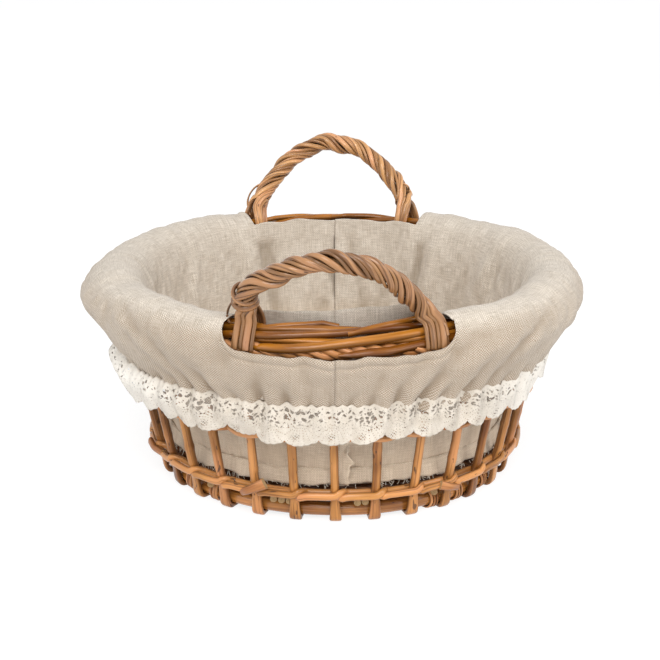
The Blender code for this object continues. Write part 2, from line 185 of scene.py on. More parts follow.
def finish_material(start, inputs, height=None, height_m=0.0003, strength=1.0):
    """Principled shader with these inputs, and a bump from a height pattern."""
    if height is not None:
        bump = {"Height": height, "Distance": height_m, "Strength": strength}
        inputs["Normal"] = start.node("ShaderNodeBump", {}, bump)
    shader = start.node("ShaderNodeBsdfPrincipled", {}, inputs)
    start.node("ShaderNodeOutputMaterial", {}, {"Surface": shader})


# %% Floor, world and lamps
def seen_directly(start):
    """1 for what the camera, a mirror image or a clear surface looks at."""
    rays = start.node("ShaderNodeLightPath")
    kinds = [rays.socket.node.outputs[k] for k in
             ("Is Camera Ray", "Is Glossy Ray", "Is Transmission Ray")]
    camera_ray, glossy_ray, clear_ray = [Wire(start.tree, k) for k in kinds]
    return (camera_ray + glossy_ray + clear_ray).maths("MINIMUM", camera_ray + glossy_ray + clear_ray, 1)


def build_studio():
    """White sweep, even world light and four broad soft lamps."""
    world = bpy.data.worlds.new("studio")
    world.use_nodes = True
    world.node_tree.nodes.clear()
    start = Wire(world.node_tree)
    plain = start.node("ShaderNodeBackground", {}, {"Color": (1, 1, 1, 1), "Strength": 0.62})
    white = start.node("ShaderNodeBackground", {}, {"Color": (1, 1, 1, 1), "Strength": 1.0})
    both = start.node("ShaderNodeMixShader", {}, {0: seen_directly(start), 1: plain, 2: white})
    start.node("ShaderNodeOutputWorld", {}, {"Surface": both})
    bpy.context.scene.world = world

    made, start = new_material("studio_floor")
    paper = start.node("ShaderNodeBsdfDiffuse", {}, {"Color": (0.9, 0.9, 0.9, 1)})
    shaded = start.node("ShaderNodeBsdfDiffuse", {}, {"Color": (0.25, 0.25, 0.25, 1)})
    glow = start.node("ShaderNodeEmission", {}, {"Color": (1, 1, 1, 1), "Strength": 0.84})
    shown = start.node("ShaderNodeAddShader", {}, {0: shaded, 1: glow})
    both = start.node("ShaderNodeMixShader", {}, {0: seen_directly(start), 1: paper, 2: shown})
    start.node("ShaderNodeOutputMaterial", {}, {"Surface": both})
    half = 6
    sheet = bpy.data.meshes.new("studio_floor")
    corners = [(-half, -half, 0), (half, -half, 0), (half, half, 0), (-half, half, 0)]
    sheet.from_pydata(corners, [], [(0, 1, 2, 3)])
    sheet.materials.append(made)
    floor = bpy.data.objects.new("studio_floor", sheet)
    bpy.context.scene.collection.objects.link(floor)
    floor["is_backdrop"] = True

    lamps = (
        ("key", (1.35, -0.85, 1.1), 1.0, 10),
        ("front", (-0.1, -1.5, 1.5), 1.1, 25),
        ("side", (-1.5, -0.7, 0.7), 1.0, 3.5),
        ("low", (0.1, -1.9, 0.35), 0.9, 1.1),
    )
    for name, place, size, power in lamps:
        lamp = bpy.data.lights.new(name, "AREA")
        lamp.size = size
        lamp.energy = power
        shade = bpy.data.objects.new(name, lamp)
        shade.location = place
        aim = np.array((0, 0, 0.1)) - np.array(place)
        flat = math.hypot(aim[0], aim[1])
        shade.rotation_euler = (math.atan2(flat, -aim[2]), 0, math.atan2(-aim[0], aim[1]))
        bpy.context.scene.collection.objects.link(shade)
    print("lamps:", len(lamps))


build_studio()

# %% [markdown]
# ## Surfaces from arrays
# Each piece is a grid of points worked out with numpy. A rod is a section carried along a
# path; a cloth is a profile carried round the basket. The same few helpers turn the arrays
# into meshes, and keep the run of the fibres or threads with them for the materials.

# %% Sizes of the real basket, in metres
STAKES = 30
STAKE_D = 0.007
FOOT_LINE_R = 0.151
RIM_LINE_R = 0.185
RIM_H = 0.170
HOOP_R = 0.1397
HOOP_Z = 0.0083
HOOP_D = 0.0118
STICK_D = 0.0055
STICK_Z = 0.01735
BORDER_R = 0.1725
FRONT = -math.pi / 2
SPACING = 2 * math.pi / STAKES

LINE_LEAN = (RIM_LINE_R - FOOT_LINE_R) / RIM_H


def stake_centre(z):
    """Radius of the stakes' centre lines: the outer line less half a stake."""
    return FOOT_LINE_R + LINE_LEAN * z - STAKE_D / 2 * math.hypot(1, LINE_LEAN)


# %% Array helpers
def around(radius, angle, height):
    """Points (r cos a, r sin a, z), for arrays of radius, angle and height."""
    radius, angle, height = np.broadcast_arrays(radius, angle, height)
    return np.stack([radius * np.cos(angle), radius * np.sin(angle), height], axis=-1)


def unit(vectors):
    """Vectors at length one."""
    return vectors / np.maximum(np.linalg.norm(vectors, axis=-1, keepdims=True), 1e-9)


def step_up(share):
    """Smooth step from 0 to 1."""
    share = np.clip(share, 0, 1)
    return share * share * (3 - 2 * share)


def smooth_path(marks, count):
    """Even points on a Catmull-Rom curve through the marks."""
    marks = np.asarray(marks, float)
    padded = np.vstack([2 * marks[0] - marks[1], marks, 2 * marks[-1] - marks[-2]])
    place = np.linspace(0, len(marks) - 1, 24 * len(marks))
    k = np.minimum(place.astype(int), len(marks) - 2)
    t = (place - k)[:, None]
    a, b, c, d = (padded[k + i] for i in range(4))
    fine = 0.5 * (2 * b + (c - a) * t + (2 * a - 5 * b + 4 * c - d) * t ** 2
                  + (3 * b - a - 3 * c + d) * t ** 3)
    run = np.r_[0, np.cumsum(np.linalg.norm(np.diff(fine, axis=0), axis=1))]
    even = np.linspace(0, run[-1], count)
    return np.stack([np.interp(even, run, fine[:, i]) for i in range(marks.shape[1])], axis=-1)


def ripple(x, seed, waves=7, longest=1.0, shortest=0.15):
    """Soft random line: a sum of sines of falling length and height, about -1 to 1."""
    draw = np.random.default_rng(seed)
    lengths = np.geomspace(longest, shortest, waves)
    heights = (lengths / longest) ** 0.8
    phases = draw.uniform(0, 2 * math.pi, waves)
    waves = np.sin(2 * math.pi * x[..., None] / lengths + phases) * heights
    return waves.sum(-1) / heights.sum() * 1.6


def crumple(x, y, seed, size, waves=14):
    """Soft random field: a sum of plane waves in random directions, about -1 to 1."""
    draw = np.random.default_rng(seed)
    ways = draw.uniform(0, 2 * math.pi, waves)
    lengths = size * draw.uniform(0.6, 1.7, waves)
    phases = draw.uniform(0, 2 * math.pi, waves)
    run = x[..., None] * np.cos(ways) + y[..., None] * np.sin(ways)
    return np.sin(2 * math.pi * run / lengths + phases).sum(-1) / math.sqrt(waves)


# %% From arrays to meshes
def grid_quads(rows, columns, wrap_rows=False, wrap_columns=False):
    """Corner numbers of the quads between neighbouring points of a grid."""
    i = np.arange(rows if wrap_rows else rows - 1)[:, None]
    j = np.arange(columns if wrap_columns else columns - 1)[None, :]
    i2, j2 = (i + 1) % rows, (j + 1) % columns
    corners = [i * columns + j, i * columns + j2, i2 * columns + j2, i2 * columns + j]
    return np.stack(np.broadcast_arrays(*corners), axis=-1).reshape(-1, 4)


def make_piece(name, points, faces, looks, layers=None, uv=None, face_looks=None, sharp=50):
    """Mesh object from points and a list of faces, with its attributes and materials."""
    mesh = bpy.data.meshes.new(name)
    counts = np.array([len(face) for face in faces])
    loops = np.concatenate(faces) if len(set(counts)) > 1 else np.asarray(faces).ravel()
    mesh.vertices.add(len(points))
    mesh.vertices.foreach_set("co", np.asarray(points, np.float32).ravel())
    mesh.loops.add(len(loops))
    mesh.loops.foreach_set("vertex_index", loops.astype(np.int32))
    mesh.polygons.add(len(counts))
    mesh.polygons.foreach_set("loop_start", np.r_[0, np.cumsum(counts)[:-1]].astype(np.int32))
    for look in looks:
        mesh.materials.append(look)
    if face_looks is not None:
        mesh.polygons.foreach_set("material_index", face_looks.astype(np.int32))
    for layer, values in (layers or {}).items():
        kind = "FLOAT_VECTOR" if values.ndim == 2 else "FLOAT"
        field = "vector" if values.ndim == 2 else "value"
        made = mesh.attributes.new(layer, kind, "POINT")
        made.data.foreach_set(field, np.asarray(values, np.float32).ravel())
    if uv is not None:
        mesh.uv_layers.new(name="cloth").data.foreach_set("uv", uv[loops].astype(np.float32).ravel())
    mesh.update(calc_edges=True)
    mesh.shade_smooth()
    mesh.set_sharp_from_angle(angle=math.radians(sharp))
    made = bpy.data.objects.new(name, mesh)
    bpy.context.scene.collection.objects.link(made)
    return made


def rod(path, width, thick, facing, sides=12, mark=0, square=2, sunk=1):
    """Rod: an oval section carried along a path.

    At each point of the path the section is thick along the facing direction and width
    across it. A square value above 2 flattens the section's four sides. Returns its points,
    its faces (the two cut ends last), the grain, which is each point's place in the section
    and along the rod shifted by the rod's own mark, the rod's tone, and inner, the share of
    painted shade, which grows from 0 on the facing side to sunk on the far one.
    """
    path = np.asarray(path, float)
    way = unit(np.gradient(path, axis=0))
    facing = np.broadcast_to(facing, path.shape)
    out = unit(facing - way * (facing * way).sum(-1, keepdims=True))
    side = np.cross(way, out)
    turn = np.linspace(0, 2 * math.pi, sides, endpoint=False) + math.pi / sides
    power = (2 / np.broadcast_to(np.asarray(square, float), len(path)))[:, None]
    sine = np.sign(np.sin(turn)) * np.abs(np.sin(turn)) ** power
    cosine = np.sign(np.cos(turn)) * np.abs(np.cos(turn)) ** power
    across = np.broadcast_to(np.asarray(width, float), len(path))[:, None] / 2 * sine
    deep = np.broadcast_to(np.asarray(thick, float), len(path))[:, None] / 2 * cosine
    points = path[:, None] + out[:, None] * deep[..., None] + side[:, None] * across[..., None]
    run = np.r_[0, np.cumsum(np.linalg.norm(np.diff(path, axis=0), axis=1))]
    run = np.broadcast_to(run[:, None], deep.shape)
    grain = np.stack([deep + mark * 0.37, across + mark * 0.71, run + mark * 1.3], axis=-1)
    quads = grid_quads(len(path), sides, wrap_columns=True)
    first = np.arange(sides)[::-1]
    last = np.arange(sides) + (len(path) - 1) * sides
    tone = np.full(points.shape[:2], (mark * 0.618) % 1)
    # inner: painted shade, none on the facing side and most on the far side.
    inner = np.broadcast_to(sunk, len(path))[:, None] * (0.5 - 0.5 * np.cos(turn))
    return points.reshape(-1, 3), [*quads, first, last], grain.reshape(-1, 3), tone.ravel(), inner.ravel()


def rods_piece(name, rods, looks):
    """One piece from one rod or several; cut ends take the second material."""
    points, faces, grain, tone, inner, ends = [], [], [], [], [], []
    for rod_points, rod_faces, rod_grain, rod_tone, rod_inner in rods:
        start = sum(len(p) for p in points)
        faces += [face + start for face in rod_faces]
        ends += [0] * (len(rod_faces) - 2) + [1, 1]
        points.append(rod_points)
        grain.append(rod_grain)
        tone.append(rod_tone)
        inner.append(rod_inner)
    # The inner layer carries the painted shade on the rods' far sides.
    layers = {"grain": np.concatenate(grain), "tone": np.concatenate(tone), "inner": np.concatenate(inner)}
    return make_piece(name, np.concatenate(points), faces, looks, layers,
                      face_looks=np.array(ends))


# %% [markdown]
# ## Buff willow
# Buff willow is boiled in its bark and then peeled, so it comes out a warm orange-brown
# with a satin skin. Fine fibres run along each rod, every rod has its own tone, and small
# dark scars mark where buds sat. The pattern reads the grain attribute, so it follows the
# rod round every bend. The sides that turn in among the other rods are painted darker, as
# shade. Cut ends show pale wood with fine cracks out from the pith.

# %% Willow finishes
def willow(name, dark, light, pink, rough, coat, painted_inner_shade, crease=0.3, clean=0.74):
    """Willow skin: tone by rod, streaks and cloudy shade along the grain, bud scars.

    The groove value sets the painted shade on the inner sides, where neighbouring rods would shade them. A higher clean
    value leaves fewer scars.
    """
    made, start = new_material(name)
    grain = start.node("ShaderNodeAttribute", {"attribute_name": "grain"}, out=1)
    tone = start.node("ShaderNodeAttribute", {"attribute_name": "tone"}, out=2)
    inner = start.node("ShaderNodeAttribute", {"attribute_name": "inner"}, out=2)
    fibre = grain.stretch(1, 1, 0.02).noise(1400, 3, 0.6)
    streak = grain.stretch(1, 1, 0.05).noise(330, 2, 0.5)
    split = grain.stretch(1, 1, 0.012).noise(520, 1, 0.5).smooth(0.56, 0.66)
    cloud = grain.stretch(1, 1, 0.6).noise(38, 2, 0.5)
    scar = grain.stretch(1, 1, 0.35).noise(300, 1, 0.4).smooth(clean, clean + 0.04)
    share = (tone * 0.45 + streak * 0.6 + cloud * 0.9 + fibre * 0.3 - 0.67).smooth(0.0, 0.85)
    colour = share.tint(dark, light)
    colour = (cloud.smooth(0.5, 0.7) * 0.6 + tone.smooth(0.6, 1) * 0.3).tint(colour, pink)
    colour = (split * crease).tint(colour, dark)
    # Painted shade: the inner sides go towards a near-black brown.
    colour = ((inner + streak * 0.2 - 0.1).smooth(0.12, 0.62) * painted_inner_shade).tint(colour, (0.048, 0.018, 0.005, 1))
    colour = (scar * 0.8).tint(colour, (0.07, 0.03, 0.015, 1))
    height = fibre * 0.4 + streak * 0.9 - scar * 0.8 - split * (crease * 2.5)
    inputs = {"Base Color": colour, "Roughness": streak * 0.25 + (rough - 0.12),
              "Specular IOR Level": 0.25, "Coat Weight": coat, "Coat Roughness": 0.18}
    finish_material(start, inputs, height, 0.00035, 0.8)
    return made


def cut_wood(name):
    """Cut end: pale wood of uneven tone, with fine cracks."""
    made, start = new_material(name)
    grain = start.node("ShaderNodeAttribute", {"attribute_name": "grain"}, out=1)
    place = start.node("ShaderNodeTexCoord", {}, out=3)
    ring = place.noise(900, 2, 0.6)
    crack = place.noise(2600, 1, 0.5).smooth(0.55, 0.62)
    colour = (ring * 0.8 + grain.noise(300) * 0.3).tint((0.36, 0.20, 0.08, 1), (0.60, 0.42, 0.21, 1))
    colour = (crack * 0.6).tint(colour, (0.15, 0.08, 0.03, 1))
    finish_material(start, {"Base Color": colour, "Roughness": 0.8}, ring - crack, 0.0003, 0.6)
    return made


stake_skin = willow("willow_stake", (0.17, 0.050, 0.007, 1), (0.70, 0.32, 0.088, 1),
                    (0.58, 0.24, 0.10, 1), 0.34, 0.3, 0.55, 0.5, 0.69)
hoop_skin = willow("willow_hoop", (0.20, 0.060, 0.008, 1), (0.76, 0.33, 0.08, 1),
                   (0.68, 0.28, 0.10, 1), 0.26, 0.6, 0.5)
border_skin = willow("willow_border", (0.14, 0.036, 0.002, 1), (0.52, 0.200, 0.018, 1),
                     (0.46, 0.165, 0.020, 1), 0.20, 0.25, 0.70, 0.3, 0.76)
wale_skin = willow("willow_wale", (0.28, 0.09, 0.020, 1), (0.72, 0.34, 0.12, 1),
                   (0.70, 0.33, 0.17, 1), 0.34, 0.25, 0.6)
near_rope_skin = willow("willow_rope", (0.080, 0.030, 0.009, 1), (0.45, 0.23, 0.092, 1),
                        (0.38, 0.175, 0.095, 1), 0.24, 0.45, 0.85, 0.6)
far_rope_skin = willow("willow_rope_back", (0.160, 0.058, 0.018, 1), (0.78, 0.42, 0.17, 1),
                       (0.68, 0.32, 0.17, 1), 0.26, 0.35, 0.75, 0.6)
floor_skin = willow("willow_floor", (0.10, 0.035, 0.010, 1), (0.32, 0.13, 0.045, 1),
                    (0.28, 0.11, 0.06, 1), 0.5, 0.05, 0.5)
cut_end = cut_wood("willow_cut_end")
wood_looks = {"stakes": [stake_skin, cut_end], "border": [border_skin, cut_end],
              "wales": [wale_skin, cut_end],
              "front": [near_rope_skin, cut_end], "back": [far_rope_skin, cut_end],
              "floor_weave": [floor_skin, cut_end], "hoops": [hoop_skin, cut_end],
              "base_sticks": [floor_skin, cut_end]}


def settle(piece, body, slot, *nodes):
    """Hang a finished piece on its body, and let it stand for its CAD nodes."""
    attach(piece, body)
    if nodes:
        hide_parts(*nodes)
    return piece


# %% [markdown]
# ## Stakes
# A stake is one straight rod as thick as a little finger's tip. It leans out, stands in
# front of both hoops, and its shaved foot bends in under the lower hoop. Real rods are
# never quite straight or even, so each has a slight bow, its own thickness and a knot or
# two. A path with a changing oval section gives all of it in one surface.

# %% Stakes
def stake_rod(index):
    """Stake: a straight leaning line, then a curve in under the hoop, section going flat."""
    draw = np.random.default_rng(100 + index)
    angle = FRONT + SPACING * index
    top = 0.1505
    marks = [(stake_centre(top), top), (stake_centre(0.12), 0.12), (stake_centre(0.08), 0.08),
             (stake_centre(0.045), 0.045), (stake_centre(0.028), 0.028),
             (0.1508, 0.017), (0.1494, 0.0085), (0.1480, 0.0040), (0.1448, 0.0018),
             (0.1395, 0.0016), (0.1345, 0.0019)]
    line = smooth_path(marks, 90)
    r, z = line[:, 0], line[:, 1]
    high = np.clip((z - 0.03) / (top - 0.03), 0, 1)
    bow = np.sin(math.pi * high)
    sideways = bow * draw.normal(0, 0.0011) + 0.0006 * ripple(z, 200 + index, 5, 0.12, 0.02) * high ** 0.5
    outwards = bow * draw.uniform(-0.0008, 0.0003)
    outwards = outwards - 0.0014 * np.exp(-((z - 0.0250) / 0.006) ** 2)
    foot = 1 - step_up(z / 0.03)
    sideways = sideways + foot * draw.normal(0, 0.0006)
    path = around(r + outwards, angle, z) + np.outer(sideways, around(1, angle + math.pi / 2, 0))
    size = STAKE_D * draw.uniform(0.94, 1.06) * (1 + 0.03 * ripple(z, 300 + index, 4, 0.09, 0.02))
    for knot in draw.uniform(0.035, 0.14, 2):
        size = size + 0.0007 * np.exp(-((z - knot) / 0.0022) ** 2)
    flat = step_up((0.024 - z) / 0.010)
    under = step_up((0.147 - r) / 0.006) * (z < 0.02)
    wide = (0.0076 + 0.0016 * step_up((0.014 - z) / 0.012)) * draw.uniform(0.94, 1.08)
    width = size * (1 - flat) + flat * (wide - 0.0012 * under)
    thick = size * (1 - flat) + flat * (0.0042 - 0.0015 * under)
    way = unit(np.gradient(path, axis=0))
    across = np.broadcast_to(around(1, angle + math.pi / 2, 0), way.shape)
    return rod(path, width, thick, np.cross(way, across), 16, index + 1, 2 + 2.2 * flat)


for index in range(STAKES):
    name = "stake_%02d" % (index + 1)
    stake = rods_piece(name + "_willow", [stake_rod(index)], wood_looks["stakes"])
    settle(stake, "basket", "stakes", name)
print("stakes:", STAKES, "outer line", FOOT_LINE_R, "to", RIM_LINE_R)


# %% [markdown]
# ## Hoops and sticks under the floor
# The base hoop is one thick rod whose ends lap at the back. Cut sticks lie on it from front
# to back, and their cut ends show in front. The second "hoop" is a pair of rods twisted
# round the stake feet: each rod passes in front of one stake and behind the next.

# %% Base hoop and sticks
def ring_path(turn_share, radius_of, height_of, start=FRONT, step=math.radians(2)):
    """Path round the basket: radius and height are functions of the angle."""
    count = max(8, round(2 * math.pi * turn_share / step))
    angle = start + np.linspace(0, 2 * math.pi * turn_share, count)
    return around(radius_of(angle), angle, height_of(angle)), angle


def outward(path):
    """Level direction away from the basket's middle at each point."""
    return unit(path * (1, 1, 0))


BACK = math.pi / 2
lap = math.radians(8)
path, angle = ring_path(
    1 + lap / math.pi,
    lambda a: HOOP_R + 0.0004 * ripple(a, 11, 5, 3, 0.6)
    + 0.0016 * (step_up((a - BACK + lap) / (2 * lap)) - step_up((BACK + 2 * math.pi + lap - a) / (2 * lap))),
    lambda a: HOOP_Z + 0.0002 * ripple(a, 12, 5, 3, 0.6), start=BACK - lap)
ends = step_up((angle - angle[0]) / (2 * lap)) * step_up((angle[-1] - angle) / (2 * lap))
hoop_d = HOOP_D * (0.3 + 0.7 * ends) * (1 + 0.02 * ripple(angle, 13, 5, 1.5, 0.3))
hoop = rods_piece("base_hoop_willow", [rod(path, hoop_d * 0.98, hoop_d, outward(path), 18, 41)],
                  wood_looks["hoops"])
settle(hoop, "basket", "hoops", "base_hoop")

for index in range(7):
    node = "base_stick_%d" % (index + 1)
    low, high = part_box(node)
    draw = np.random.default_rng(60 + index)
    x = (low.x + high.x) / 2
    reach = math.sqrt(0.1498 ** 2 - x ** 2)
    run = np.linspace(-reach - 0.0012 * draw.uniform(0, 1), reach, 40)
    bend = 0.0006 * ripple(run, 70 + index, 4, 0.2, 0.05)
    path = np.stack([x + bend * 0.4, run, STICK_Z + bend * 0.3], axis=-1)
    stick = rods_piece(node + "_willow", [rod(path, STICK_D * 1.02, STICK_D * 1.02, (0, 0, 1), 16, 50 + index)],
                       wood_looks["base_sticks"])
    settle(stick, "basket", "base_sticks", node)


# %% [markdown]
# ## Pairing and wales
# The binding round the feet and the lower wale are pairing: two rods cross between every
# two stakes, so that each passes in front of one stake and behind the next. The upper wale
# is three rods twisted into a cord. In numbers each is a circle round the basket whose
# radius and height swing in step with the stakes.

# %% Paired rods
def paired_rods(height, reach, rise, dip, hitch, thick, marks, step=0.8):
    """Two rods woven round the stakes.

    With s = 0 at the stake that a rod passes in front of and s = 1 at the next one, the
    radius is the stakes' centre line plus reach, and it swings to minus reach after s = 0
    and back after s = 1. A short swing is a tight hitch. The rod rises by rise where it goes
    in, dips by as much where it comes out, and hangs by dip in front of the stake.
    """
    made = []
    for k in range(2):
        start = BACK + SPACING * (k + 0.5)

        def place(a):
            return ((a - FRONT) / SPACING - k) % 2

        def swing(a):
            s = place(a)
            early = 0.5 - hitch / 2 if hitch > 0.5 else 0.0
            go_in = step_up((s - early - 0.10 * (hitch < 0.5)) / hitch)
            come_out = step_up((s - 0.98 - early) / hitch)
            return 1 - 2 * (go_in - come_out)

        def lift(a):
            s = place(a)
            near = np.exp(-((s - 0.15) / 0.10) ** 2) + np.exp(-((s - 2.15) / 0.10) ** 2)
            return rise * (near - 0.45 * np.exp(-((s - 1.12) / 0.12) ** 2)) - dip * swing(a)

        path, angle = ring_path(
            0.998,
            lambda a: stake_centre(height) + reach * swing(a) + 0.0003 * ripple(a, marks + k, 6, 1, 0.1),
            lambda a: height + lift(a) + 0.0005 * ripple(a, marks + k + 5, 6, 1.2, 0.15),
            start, math.radians(step))
        size = thick * (1 + 0.07 * ripple(angle, marks + k + 9, 6, 1.4, 0.2))
        made.append(rod(path, size, size * 0.86, outward(path), 12, marks + k))
    return made


def twisted_cord(height, radius, reach, thick, marks):
    """Three rods twisted into a cord, one turn from stake to stake."""
    made = []
    for k in range(3):
        path, angle = ring_path(
            0.999,
            lambda a: radius + reach * np.cos(2 * math.pi * ((FRONT - a) / SPACING + k / 3)),
            lambda a: height + reach * np.sin(2 * math.pi * ((FRONT - a) / SPACING + k / 3)),
            FRONT + SPACING * (5 * k + 9.5), math.radians(0.9))
        size = thick * (1 + 0.08 * ripple(angle, marks + k, 6, 1.1, 0.2))
        made.append(rod(path, size, size * 0.92, outward(path), 8, marks + k))
    return made


def cut_tail(marks, size, seed):
    """Short cut end of a binding rod, flared and flattened at the cut."""
    path = smooth_path([around(r, FRONT + math.radians(a), z) for a, r, z in marks], 26)
    share = np.linspace(0, 1, 26)
    wide = size * (0.85 + 0.3 * step_up((share - 0.45) / 0.55))
    return rod(path, wide, size * (0.8 - 0.15 * share), outward(path), 14, seed, 2.6)


for k, one in enumerate(paired_rods(0.0250, 0.0042, 0.0030, 0.0, 0.20, 0.0060, 21, 0.6)):
    piece = rods_piece("binding_willow_%d" % (k + 1), [one], wood_looks["stakes"])
    settle(piece, "basket", "hoops", *(["binding_hoop"] if k == 0 else []))
for k, one in enumerate(paired_rods(0.0782, 0.0056, 0.0, 0.0014, 0.9, 0.0052, 24)):
    piece = rods_piece("lower_wale_willow_%d" % (k + 1), [one], wood_looks["wales"])
    settle(piece, "basket", "wales", *(["lower_wale"] if k == 0 else []))
for k, one in enumerate(twisted_cord(0.1516, 0.1822, 0.0030, 0.0056, 27)):
    piece = rods_piece("upper_wale_willow_%d" % (k + 1), [one], wood_looks["wales"])
    settle(piece, "basket", "wales", *(["upper_wale"] if k == 0 else []))
tails = [cut_tail(((-27.5, 0.1560, 0.0225), (-25, 0.1600, 0.0262), (-22, 0.1618, 0.0310),
                   (-19.8, 0.1612, 0.0345)), 0.0080, 31),
         cut_tail(((-65, 0.1565, 0.0250), (-69.5, 0.1598, 0.0258), (-73, 0.1612, 0.0285)), 0.0066, 34),
         cut_tail(((38, 0.1570, 0.0200), (34.5, 0.1602, 0.0235), (31.5, 0.1588, 0.0262)), 0.0066, 36)]
settle(rods_piece("binding_tails_willow", tails, wood_looks["wales"]), "basket", "hoops")
print("paired rods: binding and lower wale; cord: upper wale")


# %% [markdown]
# ## Woven floor
# Weavers run from side to side over one group of sticks and under the next. At the sides
# they come round the base hoop in threes, which shows between the stake feet.

# %% Floor weavers and their wraps
BARE_GAPS = (0, 1, 13, 14, 15, 16, 27, 28, 29)


def floor_weavers():
    """Rows of weavers: straight in X, swinging over and under the stick groups."""
    made = []
    rows = np.arange(-0.1334, 0.1335, 0.0046)
    groups = np.array([-0.0992, -0.0419, 0.0205, 0.0782])
    for k, y in enumerate(rows):
        half = math.sqrt(0.1395 ** 2 - y ** 2)
        x = np.linspace(-half, half, max(10, int(half / 0.002)))
        swing = np.interp(x, np.r_[-0.14, groups, 0.14], np.array([-1, 1, -1, 1, -1, 1]) * (-1) ** k)
        swing = np.sin(swing * math.pi / 2)
        z = 0.0176 + 0.0047 * swing
        path = np.stack([x, y + 0.0003 * ripple(x, 400 + k, 4, 0.1, 0.03), z], axis=-1)
        made.append(rod(path, 0.0042, 0.0036, (0, 0, 1), 6, 90 + k))
    return made


def hoop_wraps():
    """Threes of thin split rods wrapped over the base hoop between the feet.

    Each goes round the hoop in a C, and leans to one side where it is outermost.
    """
    made = []
    for gap in range(STAKES):
        if gap in BARE_GAPS:
            continue
        draw = np.random.default_rng(800 + gap)
        middle = FRONT + SPACING * (gap + 0.5 + draw.uniform(-0.16, 0.16))
        for k in (-1, 0, 1):
            turn = np.linspace(math.radians(112), math.radians(-128), 24)
            wide = HOOP_D / 2 + 0.0014
            r = HOOP_R + wide * np.cos(turn)
            z = HOOP_Z + wide * np.sin(turn) * np.where(turn > 0, 1.25, 1)
            z = np.maximum(z, 0.0013)
            lean = 0.013 * np.cos(turn) + 0.0015 * ripple(turn, 820 + gap * 3 + k, 3, 3, 1)
            path = around(r, middle + k * 0.0205 + lean, z)
            core = around(HOOP_R, middle, HOOP_Z)
            made.append(rod(path, 0.0023 * draw.uniform(0.9, 1.15), 0.0016, path - core, 8,
                            150 + 3 * gap + k, 3))
    return made


weave = rods_piece("floor_weavers_willow", floor_weavers(), wood_looks["floor_weave"])
settle(weave, "basket", "floor_weave", "floor_weave")
wraps = rods_piece("hoop_wraps_willow", hoop_wraps(), wood_looks["wales"])
settle(wraps, "basket", "floor_weave")
print("weave points:", len(weave.data.vertices), "wraps:", len(wraps.data.vertices))


# %% [markdown]
# ## Rolled border
# Each border rod comes up outside, climbs slowly over its neighbours and tucks down inside.
# Seen from the front that gives long glossy rods that rise to the right. Fifteen rods with
# their starts evenly spread give three or four side by side everywhere. Where the
# slots leave it bare, a few thinner rods cross the others, and one rod runs round under them.

# %% Border rods
BORDER_COUNT = 15
BORDER_SPAN = math.radians(86)
BORDER_CLIMB = np.array([(0.1885, 0.1512), (0.1880, 0.1530), (0.1866, 0.1560), (0.1820, 0.1606),
                         (0.1755, 0.1643), (0.1695, 0.1656), (0.1664, 0.1608)])

for k in range(BORDER_COUNT):
    draw = np.random.default_rng(500 + k)
    start = FRONT + 2 * math.pi * (k + 0.02) / BORDER_COUNT + draw.uniform(-0.03, 0.03)
    share = np.linspace(0, 1, 80)
    line = smooth_path(BORDER_CLIMB, 400)
    climb = line[(399 * share ** {0: 1.4, 14: 1.0}.get(k, 0.8)).astype(int)]
    r = climb[:, 0] + 0.0006 * ripple(share, 520 + k, 4, 0.8, 0.2)
    z = climb[:, 1] + 0.0006 * ripple(share, 540 + k, 4, 0.8, 0.2)
    angle = start + BORDER_SPAN * share
    beside_foot = np.exp(-((np.degrees(np.arccos(np.abs(np.sin(angle)))) - 23) / 9) ** 4)
    r = r - np.maximum(r - 0.1830, 0) * beside_foot
    path = around(r, angle, z)
    size = 0.0081 * draw.uniform(0.9, 1.07) * (0.35 + 0.65 * step_up(share / 0.09) ** 0.7)
    size = size * (1.0 - 0.18 * share) * (1 + 0.03 * ripple(share, 560 + k, 4, 0.5, 0.1))
    piece = rods_piece("border_willow_%02d" % (k + 1),
                       [rod(path, size, size * 0.9, (0, 0, 1), 16, 170 + k)],
                       wood_looks["border"])
    settle(piece, "basket", "border", *(["border_rod_%d" % (k + 1)] if k < 3 else []))

crossings = []
for k, turn in enumerate(np.radians((25, 1, 204, 181))):
    line = smooth_path([(0.1668, 0.1672), (0.1650, 0.1690), (0.1668, 0.1688), (0.1712, 0.1676), (0.1752, 0.1640)], 40)
    share = np.linspace(0, 1, 40)
    path = around(line[:, 0], FRONT + turn - math.radians(22) * share, line[:, 1])
    size = 0.0060 * (0.8 + 0.3 * share)
    crossings.append(rod(path, size, size * 0.85, (0, 0, 1), 12, 195 + k))
path, angle = ring_path(0.999, lambda a: 0.1795 + 0 * a, lambda a: 0.1588 + 0.0003 * ripple(a, 199, 4, 1, 0.3), BACK)
crossings.append(rod(path, 0.0062, 0.0058, (0, 0, 1), 10, 199))
settle(rods_piece("border_crossing_willow", crossings, wood_looks["border"]), "basket", "border")
print("border rods:", BORDER_COUNT, "and", len(crossings), "thinner ones")


# %% [markdown]
# ## Rope handles
# Four bundles, each a thick rod with a thin one beside it, are twisted round a core into a
# rope that arches over and leans out. At each foot two bundles come down outside the border
# like flat straps, and two inside it. Green rods crush as they twist, so their sections are
# ovals with lengthwise creases. Thin tails stick out where a rod ends, and one rod is wound
# round the near handle's left corner.

